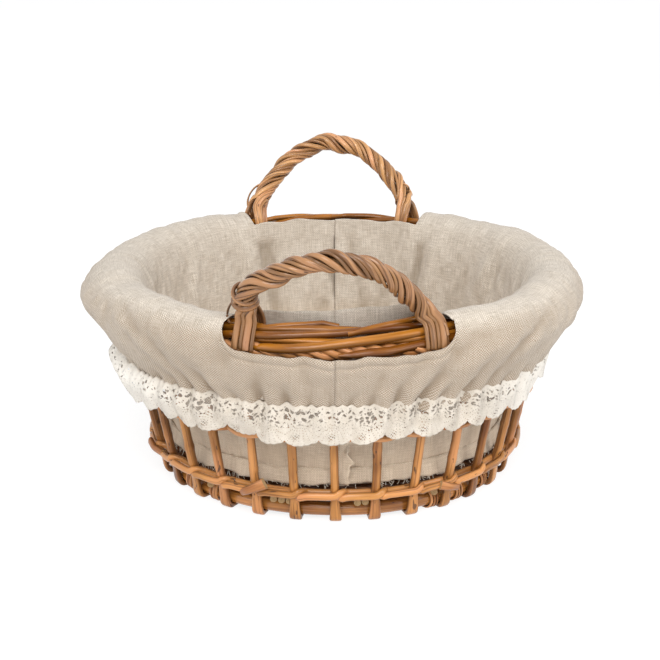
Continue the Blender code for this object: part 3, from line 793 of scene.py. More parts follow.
# %% Handle strands
HANDLE_HALF = 0.0722
HANDLE_RISE = 0.0567
HANDLE_LEAN = 0.038
HANDLE_ROUTES = {
    "front": ((-0.86, 0), (-0.89, 0.14), (-0.925, 0.38), (-0.84, 0.56), (-0.655, 0.69), (-0.40, 0.86),
              (-0.04, 0.96), (0.44, 0.78), (0.74, 0.42), (0.90, 0.15), (0.96, 0)),
    "back": ((-0.90, 0), (-0.895, 0.18), (-0.86, 0.33), (-0.748, 0.54), (-0.58, 0.76), (-0.35, 0.97),
             (-0.12, 1.05), (0.156, 1.08), (0.49, 0.90), (0.71, 0.66), (0.89, 0.40), (0.98, 0.18), (1, 0)),
}
BUNDLES = 4
ROPE_TURNS = 3.25
ROPE_R = 0.0057
# Each rod of a bundle: angle from the bundle's middle, place in the strap, width, thickness.
BUNDLE_RODS = ((-0.22, 0.0018, 0.0055, 0.0054), (0.58, -0.0030, 0.0029, 0.0028))


def handle_rods(side, seed):
    """Bundles and core of one handle: a rod is the arch + rope radius (up cos p + out sin p).

    The angle p turns along the arch. Near the feet the rods leave the circle for places
    beside the border: outside it where sin p is positive, inside it where it is negative.
    """
    foot_y = -math.sqrt(BORDER_R ** 2 - HANDLE_HALF ** 2)
    foot_angle = math.asin(HANDLE_HALF / BORDER_R)
    route = np.array(HANDLE_ROUTES[side])
    on_border = -np.sqrt(BORDER_R ** 2 - (HANDLE_HALF * route[:, 0]) ** 2) - foot_y
    marks = np.stack([HANDLE_HALF * route[:, 0],
                      foot_y - HANDLE_LEAN * route[:, 1] ** 1.2 + on_border * np.clip(1 - 3 * route[:, 1], 0, 1),
                      RIM_H + HANDLE_RISE * route[:, 1]], axis=-1)
    legs = np.array([marks[0] - (0, 0, 0.018), *marks, marks[-1] - (0, 0, 0.018)])
    arch = smooth_path(legs, 190)
    run = np.r_[0, np.cumsum(np.linalg.norm(np.diff(arch, axis=0), axis=1))]
    length = run[-1]
    near = np.minimum(run, length - run)
    right = (run > length / 2)[:, None]
    merged = step_up((near - 0.013) / 0.032)[:, None]
    way = unit(np.gradient(arch, axis=0))
    way = unit(way * merged + np.where(right, -1, 1) * np.array((0, 0, 1)) * (1 - merged))
    foot_out = np.where(right, (math.sin(foot_angle), -math.cos(foot_angle), 0),
                        (-math.sin(foot_angle), -math.cos(foot_angle), 0))
    out = foot_out * (1 - merged) + np.array((0, -1, 0)) * merged
    out = unit(out - way * (out * way).sum(-1, keepdims=True))
    up = np.cross(out, way)
    share = np.clip((run - 0.028) / (length - 0.056), 0, 1)
    splay = (1 - step_up(near / 0.020))[:, None]
    turn = 2 * math.pi * ROPE_TURNS * share
    bundles = []
    for k in range(BUNDLES):
        aim = math.pi / 4 + math.pi / 2 * k
        drift = 0.20 * ripple(share, seed + 20 + k, 4, 0.6, 0.2)
        outer = np.sign(np.sin(aim + turn))[:, None]
        bundle = []
        for twin, (angle, strap, width, thick) in enumerate(BUNDLE_RODS):
            mark = seed + 2 * k + twin
            draw = np.random.default_rng(mark)
            phase = aim + angle + turn + drift + 0.07 * ripple(share, mark + 30, 3, 0.3, 0.1)
            rope_r = ROPE_R * (1 + 0.13 * ripple(share, seed + 40 + k, 4, 0.5, 0.15)
                               + 0.10 * ripple(share, mark + 50, 4, 0.3, 0.1) + 0.08 * twin)
            around_rope = up * np.cos(phase)[:, None] + out * np.sin(phase)[:, None]
            spread = (np.cos(aim + turn)[:, None] * 0.0066 + strap * outer) * np.where(outer > 0, 1, 0.55)
            beside = out * (outer * 0.0108 + np.maximum(outer, 0) * splay * 0.0050) + up * spread
            path = arch + around_rope * rope_r[:, None] * merged + beside * (1 - merged)
            size = draw.uniform(0.9, 1.12) * (1 + 0.10 * ripple(share, mark + 60, 5, 0.4, 0.08))
            foot = 1 - merged[:, 0]
            facing = around_rope * merged + out * outer * (1 - merged)
            # The last value is the painted shade on the rods' far sides, less on the flat straps at the feet.
            bundle.append(rod(path, width * size, thick * size * (1 - 0.25 * foot), facing, 12,
                              mark + 11 * k, 2 + 0.9 * foot, 1 - 0.6 * foot))
        bundles.append(bundle)
    core = [rod(arch[22:-22], 0.0064, 0.0064, out[22:-22], 8, seed + 3)]
    if side == "front":
        wound = np.linspace(0, 1, 70)
        spot = 0.0335 + 0.0115 * wound
        centre, over, beyond = (np.stack([np.interp(spot, run, field[:, i]) for i in range(3)], axis=-1)
                                for field in (arch, up, out))
        phase = 2 * math.pi * (0.55 - 1.7 * wound)[:, None]
        path = centre + (over * np.cos(phase) + beyond * np.sin(phase)) * 0.0088
        core.append(rod(path, 0.0052 * (1 - 0.3 * wound), 0.0032, path - centre, 10, seed + 5, 2.4))
    return bundles, core, arch


def handle_tail(marks, size, seed):
    """Thin end of a rod that leaves the rope in a small loop."""
    path = smooth_path(marks, 30)
    wide = size * (1 - 0.35 * np.linspace(0, 1, 30))
    return rod(path, wide, wide * 0.7, (0, 0, 1), 8, seed)


# %% Both handles
# The tails of each handle, from where they leave the rope to their tips.
TAILS = {
    "front": [handle_tail(((-0.0705, -0.1650, 0.1900), (-0.0770, -0.1640, 0.1840), (-0.0800, -0.1630, 0.1760),
                           (-0.0785, -0.1640, 0.1700), (-0.0740, -0.1680, 0.1700)), 0.0030, 913),
              handle_tail(((0.0720, -0.1660, 0.1790), (0.0775, -0.1650, 0.1735), (0.0820, -0.1665, 0.1680),
                           (0.0840, -0.1690, 0.1610)), 0.0038, 914)],
    "back": [handle_tail(((-0.0660, 0.172, 0.199), (-0.0740, 0.170, 0.195), (-0.0795, 0.168, 0.188),
                          (-0.0812, 0.166, 0.180), (-0.0790, 0.163, 0.170)), 0.0026, 910),
             handle_tail(((0.0570, 0.172, 0.196), (0.0635, 0.168, 0.1985), (0.0680, 0.166, 0.1965),
                          (0.0680, 0.167, 0.1925), (0.0620, 0.168, 0.1900)), 0.0022, 911),
             handle_tail(((0.0060, 0.199, 0.2325), (0.0130, 0.198, 0.2345), (0.0205, 0.198, 0.2335),
                          (0.0260, 0.197, 0.2290)), 0.0018, 912)],
}

for side, seed, half_turn in (("front", 600, 1), ("back", 700, -1)):
    bundles, core, arch = handle_rods(side, seed)
    for k, rods in enumerate([*bundles, core]):
        turned = [(points * (half_turn, half_turn, 1), *rest) for points, *rest in rods]
        if k < BUNDLES:
            piece = rods_piece("%s_handle_willow_%d" % (side, k + 1), turned, wood_looks[side])
            settle(piece, "basket", "handles", "%s_handle_rod_%d" % (side, k + 1))
        else:
            piece = rods_piece(side + "_handle_core", turned + TAILS[side], wood_looks[side])
            settle(piece, "basket", "handles")
    print(side, "handle:", BUNDLES, "bundles, apex", np.round(arch[:, 2].max(), 3))


# %% [markdown]
# ## Linen and lace
# The liner is undyed linen in plain weave: warp and weft pass over and under each other, one
# millimetre apart, and thicker places in the yarn show as faint lines. The
# weave reads the cloth's own map, in metres, so it follows every fold. The lace is white
# cotton; its holes are cut by alpha from the same kind of map.

# %% Linen
THREAD = 0.0010


def linen(name, dark, light):
    """Plain weave of rounded threads, darker where the warp is on top, with painted shade down in the folds.

    The skirt's outside, which faces down, is painted a little darker as shade, least at the
    basket's sides. In front, where it is pulled down most, the weave is open. Low in the
    basket the cloth is painted warmer, as reflected light.
    """
    made, start = new_material(name)
    place = start.node("ShaderNodeUVMap", {"uv_map": "cloth"})
    sway = (place.noise(230, 1) - 0.5) * 1.6
    a, b = place.part(0) / THREAD + 4000 + sway, place.part(1) / THREAD + 4000 - sway
    a_line, b_line = a.maths("FLOOR", a), b.maths("FLOOR", b)
    warp = ((a - a_line - 0.5) * math.pi).maths("COSINE", (a - a_line - 0.5) * math.pi)
    weft = (b - b_line - 0.5).maths("COSINE", (b - b_line - 0.5) * math.pi)
    warp_over = b.maths("COSINE", (b - 0.5 + a_line) * math.pi) * 0.5 + 0.5
    weft_over = a.maths("COSINE", (a - 0.5 + b_line + 1) * math.pi) * 0.5 + 0.5
    height = a.maths("MAXIMUM", warp * warp_over, weft * weft_over)
    slub = place.stretch(90, 1300, 1).noise(1, 2, 0.5) + place.stretch(1300, 70, 1).noise(1, 2, 0.5)
    outside = start.node("ShaderNodeAttribute", {"attribute_name": "outside"}, out=2)
    mottle = place.noise(30, 2, 0.6)
    across_basket = start.node("ShaderNodeTexCoord", {}, out=3).part(0)
    at_side = across_basket.maths("ABSOLUTE", across_basket).smooth(0.12, 0.18)
    open_weave = place.noise(70, 2, 0.6).smooth(0.35, 0.62) * outside * (1 - at_side * 0.8)
    checker = a.maths("SINE", a * math.pi) * b.maths("SINE", b * math.pi) * (open_weave * 1.4 + 0.12)
    share = (height * 0.22 + checker + slub * 0.55 + mottle * 0.12 - 0.25).smooth(0, 1)
    colour = share.tint(dark, light)
    fold = start.node("ShaderNodeAttribute", {"attribute_name": "fold"}, out=2)
    # Painted shade in the folds' valleys.
    colour = ((0 - fold).smooth(0.1, 3.4) * 0.50).tint(colour, (0.25, 0.185, 0.12, 1))
    # Painted shade on the skirt's outside, weaker at the basket's sides.
    colour = (outside * (0.56 - at_side * 0.17)).tint(colour, (0.30, 0.215, 0.14, 1))
    # Painted warm reflected light low in the basket.
    low = (0.10 - start.node("ShaderNodeTexCoord", {}, out=3).part(2)).smooth(0, 0.05)
    colour = (low * 0.35).tint(colour, (0.86, 0.62, 0.38, 1))
    finish_material(start, {"Base Color": colour, "Roughness": 0.92, "Sheen Weight": 0.15},
                    height + slub * 0.4, 0.0004, 0.55)
    return made


linen_look = linen("linen_weave", (0.31, 0.25, 0.18, 1), (0.90, 0.82, 0.72, 1))


# %% [markdown]
# ## The liner's cloth
# One half of the liner is a single cloth. It runs up inside the stakes, over the border and
# down outside to a hem that an elastic draws in, and it has a slot at each handle. The
# profile is a line in radius and height; carried round half the basket it makes the sheet.
# Folds are moves along the sheet's normal: soft ones in the wall, sharp ones at the hem.

# %% Liner profile
# The line of the cloth from the wall's top over the border to the hem, as radius and height:
# at the sides, where it flares, and at the handles, where it hangs close.
FOLD_LINE = np.array([
    (0.1562, 0.1480, 0.1562, 0.1480), (0.1598, 0.1592, 0.1598, 0.1592), (0.1652, 0.1684, 0.1652, 0.1684),
    (0.1745, 0.1735, 0.1738, 0.1733), (0.1845, 0.1742, 0.1815, 0.1728), (0.1935, 0.1708, 0.1868, 0.1688),
    (0.2002, 0.1642, 0.1905, 0.1630), (0.2050, 0.1552, 0.1922, 0.1558), (0.2040, 0.1450, 0.1925, 0.1468),
    (0.1972, 0.1325, 0.1900, 0.1350), (0.1888, 0.1205, 0.1858, 0.1225), (0.1820, 0.1115, 0.1812, 0.1122),
    (0.1770, 0.1000, 0.1770, 0.1000)])
WALL_LINE = np.array([
    (0.1335, 0.0264), (0.1358, 0.0284), (0.1388, 0.0335), (0.1416, 0.0430), (0.1448, 0.0600),
    (0.1474, 0.0790), (0.1500, 0.1000), (0.1530, 0.1250), (0.1562, 0.1480)])
CREST_PLACE = 4.6
SLOT_PLACE = 7.2
LAST_PLACE = len(FOLD_LINE) - 1
SLOT_END = math.radians(28.8)


def side_share(angle):
    """1 at the sides, 0 at the handles, with broad shoulders."""
    return 1 - np.abs(np.sin(angle)) ** 3


def fold_line(angle, place):
    """Radius and height on the fold's line: the side and handle lines mixed by the angle.

    The left tip stands out 5 mm more, in a narrow hump a little in front of the middle.
    """
    places = np.arange(LAST_PLACE + 1)
    line = smooth_path(np.column_stack([places, FOLD_LINE]), 500)
    side_r, side_z, front_r, front_z = (np.interp(place, line[:, 0], line[:, i]) for i in range(1, 5))
    share = side_share(angle)
    gap = np.angle(np.exp(1j * (angle - math.radians(186))))
    tip = np.exp(-(gap / 0.30) ** 2) * np.exp(-((place - 7) / 1.7) ** 2)
    gap = np.angle(np.exp(1j * (angle - math.radians(-4))))
    dent = np.exp(-(gap / 0.24) ** 2) * np.exp(-((place - 9.3) / 0.9) ** 2)
    r = front_r + (side_r - front_r) * share + 0.0062 * tip - 0.0040 * dent
    return r, front_z + (side_z - front_z) * share - 0.0020 * tip


def handle_distance(angle):
    """Angle to the nearer handle's middle, and 1 at the front one, 0 at the back one."""
    from_front = np.abs(np.angle(np.exp(1j * (angle - FRONT))))
    from_back = math.pi - from_front
    return np.minimum(from_front, from_back), (from_front < from_back).astype(float)


# %% Folds in the cloth
# Creases at the hem: degrees from the front, lean in degrees over their height, length up
# the cloth as a share of the skirt, depth in mm and width in degrees.
FRONT_CREASES = (
    (-43, -2, 0.30, 1.4, 1.3), (-37, -5, 0.42, 1.6, 1.2), (-29.5, -13, 0.75, 2.3, 1.5), (-24, -5, 0.35, 1.2, 1.1),
    (-18, -2, 0.50, 2.6, 1.3), (-11.5, -1, 0.42, 2.3, 1.2), (-6, 0, 0.33, 1.4, 0.9), (-1.2, 0, 0.5, 1.2, 0.7),
    (3.4, 1, 0.30, 1.2, 0.9), (8.8, 2, 0.40, 2.0, 1.2), (14.6, 3, 0.45, 2.2, 1.3), (20, 12, 0.85, 2.6, 1.6),
    (25.5, 9, 0.65, 2.0, 1.5), (32, 10, 0.75, 2.0, 1.7), (40, 7, 0.5, 1.5, 1.7), (-49, -3, 0.3, 1.2, 1.4))


def hem_creases():
    """The creases seen in front, and others at uneven steps round the rest of the hem."""
    draw = np.random.default_rng(39)
    made = list(FRONT_CREASES)
    for middle in np.arange(47, 306, 7.2):
        made.append((middle + draw.uniform(-2.4, 2.4), draw.uniform(-7, 7), draw.uniform(0.25, 0.8),
                     draw.uniform(0.9, 2.4), draw.uniform(1.1, 1.8)))
    return np.array(made)


def crease_field(angle, hang, creases):
    """Sum of creases: each a narrow valley with a soft ridge on both sides, fading upwards."""
    rise = 1 - hang
    middle = FRONT + np.radians(creases[:, 0]) + np.radians(creases[:, 1]) * rise[..., None]
    gap = np.angle(np.exp(1j * (angle[..., None] - middle))) / np.radians(creases[:, 4] * (1 + 1.1 * rise[..., None]))
    fade = np.clip(1 - rise[..., None] / creases[:, 2], 0, 1) ** 1.2
    shape = -np.exp(-gap ** 2) + 0.42 * np.exp(-((np.abs(gap) - 2.0) / 1.0) ** 2)
    return (0.001 * creases[:, 3] * fade * shape).sum(-1)


# The wall's larger folds: degrees at its foot, lean in degrees over its height, where up it
# each is deepest, its reach, its width in radians and how far it stands in, in mm.
LARGE_FOLDS = np.array((
    (65.3, -6.9, 0.72, 0.30, 0.040, -3.8), (60.0, -6.9, 0.72, 0.30, 0.050, 4.5),
    (36.4, -15.2, 0.82, 0.25, 0.036, -3.8), (41.5, -15.2, 0.82, 0.25, 0.050, 4.0),
    (-45.0, 40.0, 0.90, 0.12, 0.035, -3.8), (-38.0, 40.0, 0.90, 0.12, 0.050, 4.0),
    (110.3, 6.2, 0.78, 0.30, 0.036, -3.5), (115.5, 6.2, 0.78, 0.30, 0.045, 3.6)))


def wall_folds(angle, high, seed, count=34):
    """Large folds and random soft ones up the wall, each over a part of its height."""
    draw = np.random.default_rng(seed)
    small = np.column_stack([draw.uniform(low, top, count) for low, top in (
        (0, 2 * math.pi), (-0.35, 0.35), (0.45, 1.0), (0.25, 0.6), (0.016, 0.065), (-0.0042, 0.0034))])
    large = LARGE_FOLDS * (math.pi / 180, math.pi / 180, 1, 1, 1, 0.001)
    middle, lean, centre, reach, width, depth = np.vstack([small, large]).T
    gap = np.angle(np.exp(1j * (angle[..., None] - middle - lean * high[..., None]))) / width
    fade = np.exp(-((high[..., None] - centre) / reach) ** 2)
    return (depth * fade * np.exp(-gap ** 2)).sum(-1)


# %% Liner halves
COLUMNS = 330
WALL_ROWS = 64
OVER_ROWS = 18
SKIRT_ROWS = 74
CLOTH_T = 0.0009


def column_angles(side):
    """Angles from the front seam to the back one, closer together at the slots' ends."""
    even = np.linspace(0, math.pi, 4000)
    away = np.minimum(even, math.pi - even)
    crowd = 1 + 3.5 * np.exp(-((away - SLOT_END + 0.03) / 0.045) ** 2)
    run = np.r_[0, np.cumsum((crowd[1:] + crowd[:-1]) / 2)]
    share = np.interp(np.linspace(0, run[-1], COLUMNS), run, even)
    return FRONT + side * (share * (1 - 0.0004) + 0.0006)


def normals_of(points):
    """Directions square to a grid of points."""
    return unit(np.cross(np.gradient(points, axis=0), np.gradient(points, axis=1)))


def liner_half(side):
    """Wall and skirt of one half as two grids that share the row along the crest."""
    angle = column_angles(side)
    away, at_front = handle_distance(angle)
    slot_end = SLOT_END - at_front * math.radians(2.6 if side < 0 else 0.7)
    wide = np.broadcast_to(angle, (WALL_ROWS, COLUMNS))

    line = smooth_path(WALL_LINE, WALL_ROWS)
    wall_r = np.broadcast_to(line[:, :1], wide.shape)
    wall_z = np.broadcast_to(line[:, 1:], wide.shape)

    # Over the border outside the slots. Inside them the cloth stands up behind it.
    lift = np.linspace(0, 1, OVER_ROWS + 1)[1:, None]
    cut = step_up((slot_end - away) / math.radians(1.6))
    stand = step_up((slot_end - math.radians(0.9) - away) / math.radians(2.4))
    over_angle = np.broadcast_to(angle, (OVER_ROWS, COLUMNS))
    over_r, over_z = fold_line(over_angle, lift * (CREST_PLACE - (CREST_PLACE - 1.6) * cut))
    front_top = 0.1768 + 0.0042 * np.sin(angle - FRONT) / 0.5 + 0.0006 * ripple(angle, 71, 4, 0.5, 0.15)
    back_top = 0.1672 + 0.0016 * ripple(angle, 72, 4, 0.6, 0.15) + 0.0022 * step_up((away - 0.3) / 0.15)
    top = at_front * front_top + (1 - at_front) * back_top
    over_r = over_r + (0.1562 + 0.0008 * lift - over_r) * stand
    over_z = over_z + (0.1480 + (top - 0.1480) * lift - over_z) * stand
    inner = np.concatenate([around(wall_r, wide, wall_z), around(over_r, over_angle, over_z)])

    # The skirt starts at the crest, or at the slot's lower edge with its rounded corners.
    inside = np.clip((slot_end - away) / math.radians(5.0), 0, 1)
    opening = (1 - (1 - inside) ** 2.3) ** (1 / 2.3)
    bow = 0.45 * (1 - np.clip(away / slot_end, 0, 1) ** 2)
    first = CREST_PLACE + (SLOT_PLACE + bow + 0.12 * ripple(angle, 73, 4, 0.3, 0.08) - CREST_PLACE) * opening
    share = np.linspace(0, 1, SKIRT_ROWS)[:, None] ** 0.9
    place = first + (LAST_PLACE - first) * share
    skirt_angle = np.broadcast_to(angle, place.shape)
    skirt_r, skirt_z = fold_line(skirt_angle, place)
    outer = around(skirt_r, skirt_angle, skirt_z)

    # Cloth map in metres: along the hoop, and along the profile.
    fine = np.linspace(0, LAST_PLACE, 400)
    fine_run = np.r_[0, np.cumsum(np.hypot(*np.diff(np.stack(fold_line(0.4, fine)), axis=1)))]
    steps = np.linalg.norm(np.diff(inner, axis=0), axis=-1)
    inner_v = np.vstack([np.zeros(COLUMNS), np.cumsum(steps, axis=0)])
    outer_v = inner_v[WALL_ROWS - 1, 0] + np.interp(place, fine, fine_run)
    cloth_map = np.stack([np.vstack([wide, over_angle, skirt_angle]) * 0.18,
                          np.vstack([inner_v, outer_v])], axis=-1)

    # Folds, as moves square to the cloth: inwards positive on the wall, outwards on the skirt.
    seam = np.exp(-((away * 0.18) / 0.0035) ** 2)
    field = np.vstack([wide, over_angle])
    high = np.clip((inner[..., 2] - 0.0264) / 0.148, 0, 1.05)
    calm = np.sin(math.pi * np.clip(high, 0, 1) ** 0.8 * 0.93)
    move = (wall_folds(field, high, 31) * (0.25 + calm)
            + 0.0022 * calm * ripple(field + 0.25 * high, 33, 6, 0.9, 0.2)
            + 0.0007 * calm * crumple(field * 0.17, high * 0.15, 34, 0.045)
            + 0.0004 * crumple(field * 0.17, high * 0.15, 35, 0.014, 20) - 0.0012 * seam)
    over = step_up((inner[..., 2] - 0.140) / 0.018)
    wall_move = np.maximum(move, -0.0040 + 0.0036 * over) * (1 - 0.4 * over)
    inner = inner + np.sign(side) * normals_of(inner) * wall_move[..., None]

    hang = np.clip((place - CREST_PLACE) / (LAST_PLACE - CREST_PLACE), 0, 1)
    middle = np.sin(math.pi * hang ** 0.9)
    pull = np.clip(hang * 1.3, 0, 1) * (1 - 0.5 * np.clip((hang - 0.95) / 0.05, 0, 1))
    edge = (place - first) / (SLOT_PLACE - CREST_PLACE)
    rolled = opening * (0.0009 * np.exp(-((edge - 0.10) / 0.09) ** 2) - 0.0010 * np.exp(-((edge - 0.27) / 0.05) ** 2))
    move = (0.0018 * middle * ripple(skirt_angle + 0.9 * hang * np.cos(skirt_angle), 36, 6, 0.8, 0.16)
            + 0.0009 * middle * crumple(skirt_angle * 0.19, place * 0.009, 37, 0.03)
            + 0.00035 * crumple(skirt_angle * 0.19, place * 0.009, 38, 0.012, 20)
            + crease_field(skirt_angle, hang, hem_creases()) * pull * 2.6 + 0.9 * rolled - 0.0012 * seam * (hang > 0.3))
    outer = outer + np.sign(side) * normals_of(outer) * move[..., None]
    crest = np.exp(-((outer[..., 2] - 0.1735) / 0.006) ** 2) * (opening < 0.02)
    waves = 0.0014 * ripple(skirt_angle, 43, 5, 0.7, 0.2)
    outer[..., 2] += waves * crest
    inner[..., 2] += (0.0014 * ripple(field, 43, 5, 0.7, 0.2)
                      * np.exp(-((inner[..., 2] - 0.1735) / 0.006) ** 2) * (opening < 0.02))
    outer[0] = np.where((opening < 0.001)[:, None], inner[-1], outer[0])

    # The fold depths in mm: the linen paints shade into their valleys.
    fold = 1000 * np.vstack([wall_move, move])
    quads = np.vstack([grid_quads(len(inner), COLUMNS),
                       grid_quads(len(outer), COLUMNS) + len(inner) * COLUMNS])
    if side > 0:
        quads = quads[:, ::-1]
    points = np.concatenate([inner, outer]).reshape(-1, 3)
    # outside marks the skirt: the linen opens its weave there and paints it darker as shade.
    outside = np.vstack([np.zeros(inner.shape[:2]), step_up(hang / 0.3)])
    return points, quads, cloth_map.reshape(-1, 2), {"fold": fold.ravel(), "outside": outside.ravel()}


def weld(piece, distance):
    """Join the points of a mesh that lie on each other."""
    modifier = piece.modifiers.new("weld", "WELD")
    modifier.merge_threshold = distance


def thicken(piece, thickness, offset=0):
    """Give a sheet its real thickness."""
    modifier = piece.modifiers.new("thickness", "SOLIDIFY")
    modifier.thickness = thickness
    modifier.offset = offset


for label, side in (("right", 1), ("left", -1)):
    points, quads, uv, layers = liner_half(side)
    half = make_piece("liner_cloth_" + label, points, list(quads), [linen_look], layers, uv, sharp=180)
    weld(half, 0.00002)
    thicken(half, CLOTH_T)
    settle(half, "liner", "linen", "liner_wall_" + label, "liner_skirt_" + label)
    print(half.name, len(points), "points")


# %% [markdown]
# ## Raw seam under the liner
# Outside, where the wall is sewn to the floor cloth, the seam allowance hangs down with a
# raw edge. Between the stakes it shows as a darker band of loose weave with a line of
# stitches above it and short threads below.

# %% Seam allowance
def seam_allowance():
    """Ring of cloth from the stitch line to a ragged edge, standing off the wall."""
    columns, rows = 720, 9
    angle = FRONT + np.linspace(0, 2 * math.pi, columns, endpoint=False)
    share = np.linspace(0, 1, rows)[:, None]
    low = 0.0302 + 0.0016 * ripple(angle, 81, 7, 0.6, 0.03)
    z = 0.0438 + 0.0006 * ripple(angle, 82, 4, 1.5, 0.4) + (low - 0.0438) * share
    r = 0.1421 + 0.0026 * share + 0.0014 * share * ripple(angle, 83, 6, 0.5, 0.08)
    points = around(np.broadcast_to(r, z.shape), np.broadcast_to(angle, z.shape), z).reshape(-1, 3)
    quads = grid_quads(rows, columns, wrap_columns=True)
    uv = np.stack([np.broadcast_to(angle * 0.145, z.shape), z], axis=-1).reshape(-1, 2)

    # The front seam's own allowance, a strip that hangs beside it.
    down, side = np.meshgrid(np.linspace(0, 1, 40), np.linspace(0, 1, 8), indexing="ij")
    strip_z = 0.090 - 0.0585 * down
    curl = 0.0012 * ripple(down + 0.3 * side, 86, 4, 0.6, 0.2)
    strip_r = 0.1463 + 0.0195 * (strip_z - 0.030) / 0.060 * 0.55 + 0.0030 * side ** 2 + curl * side
    turn = FRONT + np.radians(0.8 + (3.6 + 0.9 * ripple(down, 87, 5, 0.4, 0.06)) * side)
    strip = around(strip_r, turn, strip_z)
    points = np.vstack([points, strip.reshape(-1, 3)])
    quads = np.vstack([quads, grid_quads(40, 8) + rows * columns])
    uv = np.vstack([uv, np.stack([turn * 0.145, strip_z], axis=-1).reshape(-1, 2)])
    return points, quads, uv


points, quads, uv = seam_allowance()
allowance = make_piece("seam_allowance", points, list(quads), [linen_look], uv=uv, sharp=180)
thicken(allowance, 0.0008)
settle(allowance, "liner", "linen")


# %% Loose threads
def loose_threads():
    """Short threads that curl out of the raw edge, and stitches along the seam."""
    draw = np.random.default_rng(85)
    made = []
    for k in range(330):
        angle = FRONT + draw.uniform(0, 2 * math.pi)
        share = np.linspace(0, 1, 6)
        sway = draw.uniform(-0.003, 0.003) * share ** 2
        path = around(0.1446 + draw.uniform(-0.0005, 0.0016) * share, angle + sway / 0.145,
                      0.0308 - draw.uniform(0.0008, 0.0052) * share)
        made.append(rod(path, 0.00042, 0.00042, outward(path), 4, 300 + k))
    for k in range(260):
        angle = FRONT + (k + 0.2) * 2 * math.pi / 260
        path = around(0.1439, angle + np.linspace(0, 0.6, 4) * 2 * math.pi / 260, 0.0436 + np.zeros(4))
        made.append(rod(path, 0.0005, 0.0004, outward(path), 4, 600 + k))
    return made


def thread_material(name, dark, light):
    """Linen yarn: its tone drifts along each thread."""
    made, start = new_material(name)
    grain = start.node("ShaderNodeAttribute", {"attribute_name": "grain"}, out=1)
    colour = grain.noise(300).smooth(0.3, 0.7).tint(dark, light)
    finish_material(start, {"Base Color": colour, "Roughness": 0.95})
    return made


thread_look = thread_material("linen_thread", (0.55, 0.45, 0.33, 1), (0.90, 0.82, 0.70, 1))
threads = rods_piece("loose_threads", loose_threads(), [thread_look, thread_look])
settle(threads, "liner", "linen")
print("seam allowance:", len(points), "points")


# %% Liner floor
def disc(radius, rings, columns, height_of):
    """Flat round cloth: rings of points about a middle point."""
    angle = np.linspace(0, 2 * math.pi, columns, endpoint=False)
    reach = np.linspace(0, 1, rings + 1)[1:, None] ** 0.9 * radius
    x, y = reach * np.cos(angle), reach * np.sin(angle)
    points = np.stack([x, y, height_of(x, y)], axis=-1).reshape(-1, 3)
    middle = np.array([[0, 0, height_of(np.zeros(1), np.zeros(1))[0]]])
    points = np.vstack([points, middle])
    fan = [np.array([j, (j + 1) % columns, len(points) - 1]) for j in range(columns)]
    faces = [quad[::-1] for quad in grid_quads(rings, columns, wrap_columns=True)] + fan
    return points, faces


def floor_height(x, y):
    """Level cloth with soft bumps, turned up a little at its edge."""
    rim = np.clip((np.hypot(x, y) - 0.125) / 0.009, 0, 1)
    return 0.0260 + 0.0006 * (1 + crumple(x, y, 51, 0.05)) + 0.0009 * rim ** 2


points, faces = disc(0.1342, 46, 160, floor_height)
base_cloth = make_piece("liner_floor_cloth", points, faces, [linen_look], uv=points[:, :2], sharp=180)
thicken(base_cloth, CLOTH_T)
settle(base_cloth, "liner", "linen", "liner_floor")

# %% [markdown]
# ## Lace trim
# The trim is a strip of cotton lace about 3 cm deep. Its top is a trellis of open eyelets;
# below that each scallop is a fan with rows of pinholes and a small diamond of holes at
# its edge. It is sewn over the gathered hem, so it waves in and out.

# %% Lace
SCALLOPS = 46
LACE_TOP, LACE_LOW = 0.1090, 0.0790
LACE_TOP_R = 0.1797
SCALLOP_LONG = 2 * math.pi * LACE_TOP_R / SCALLOPS


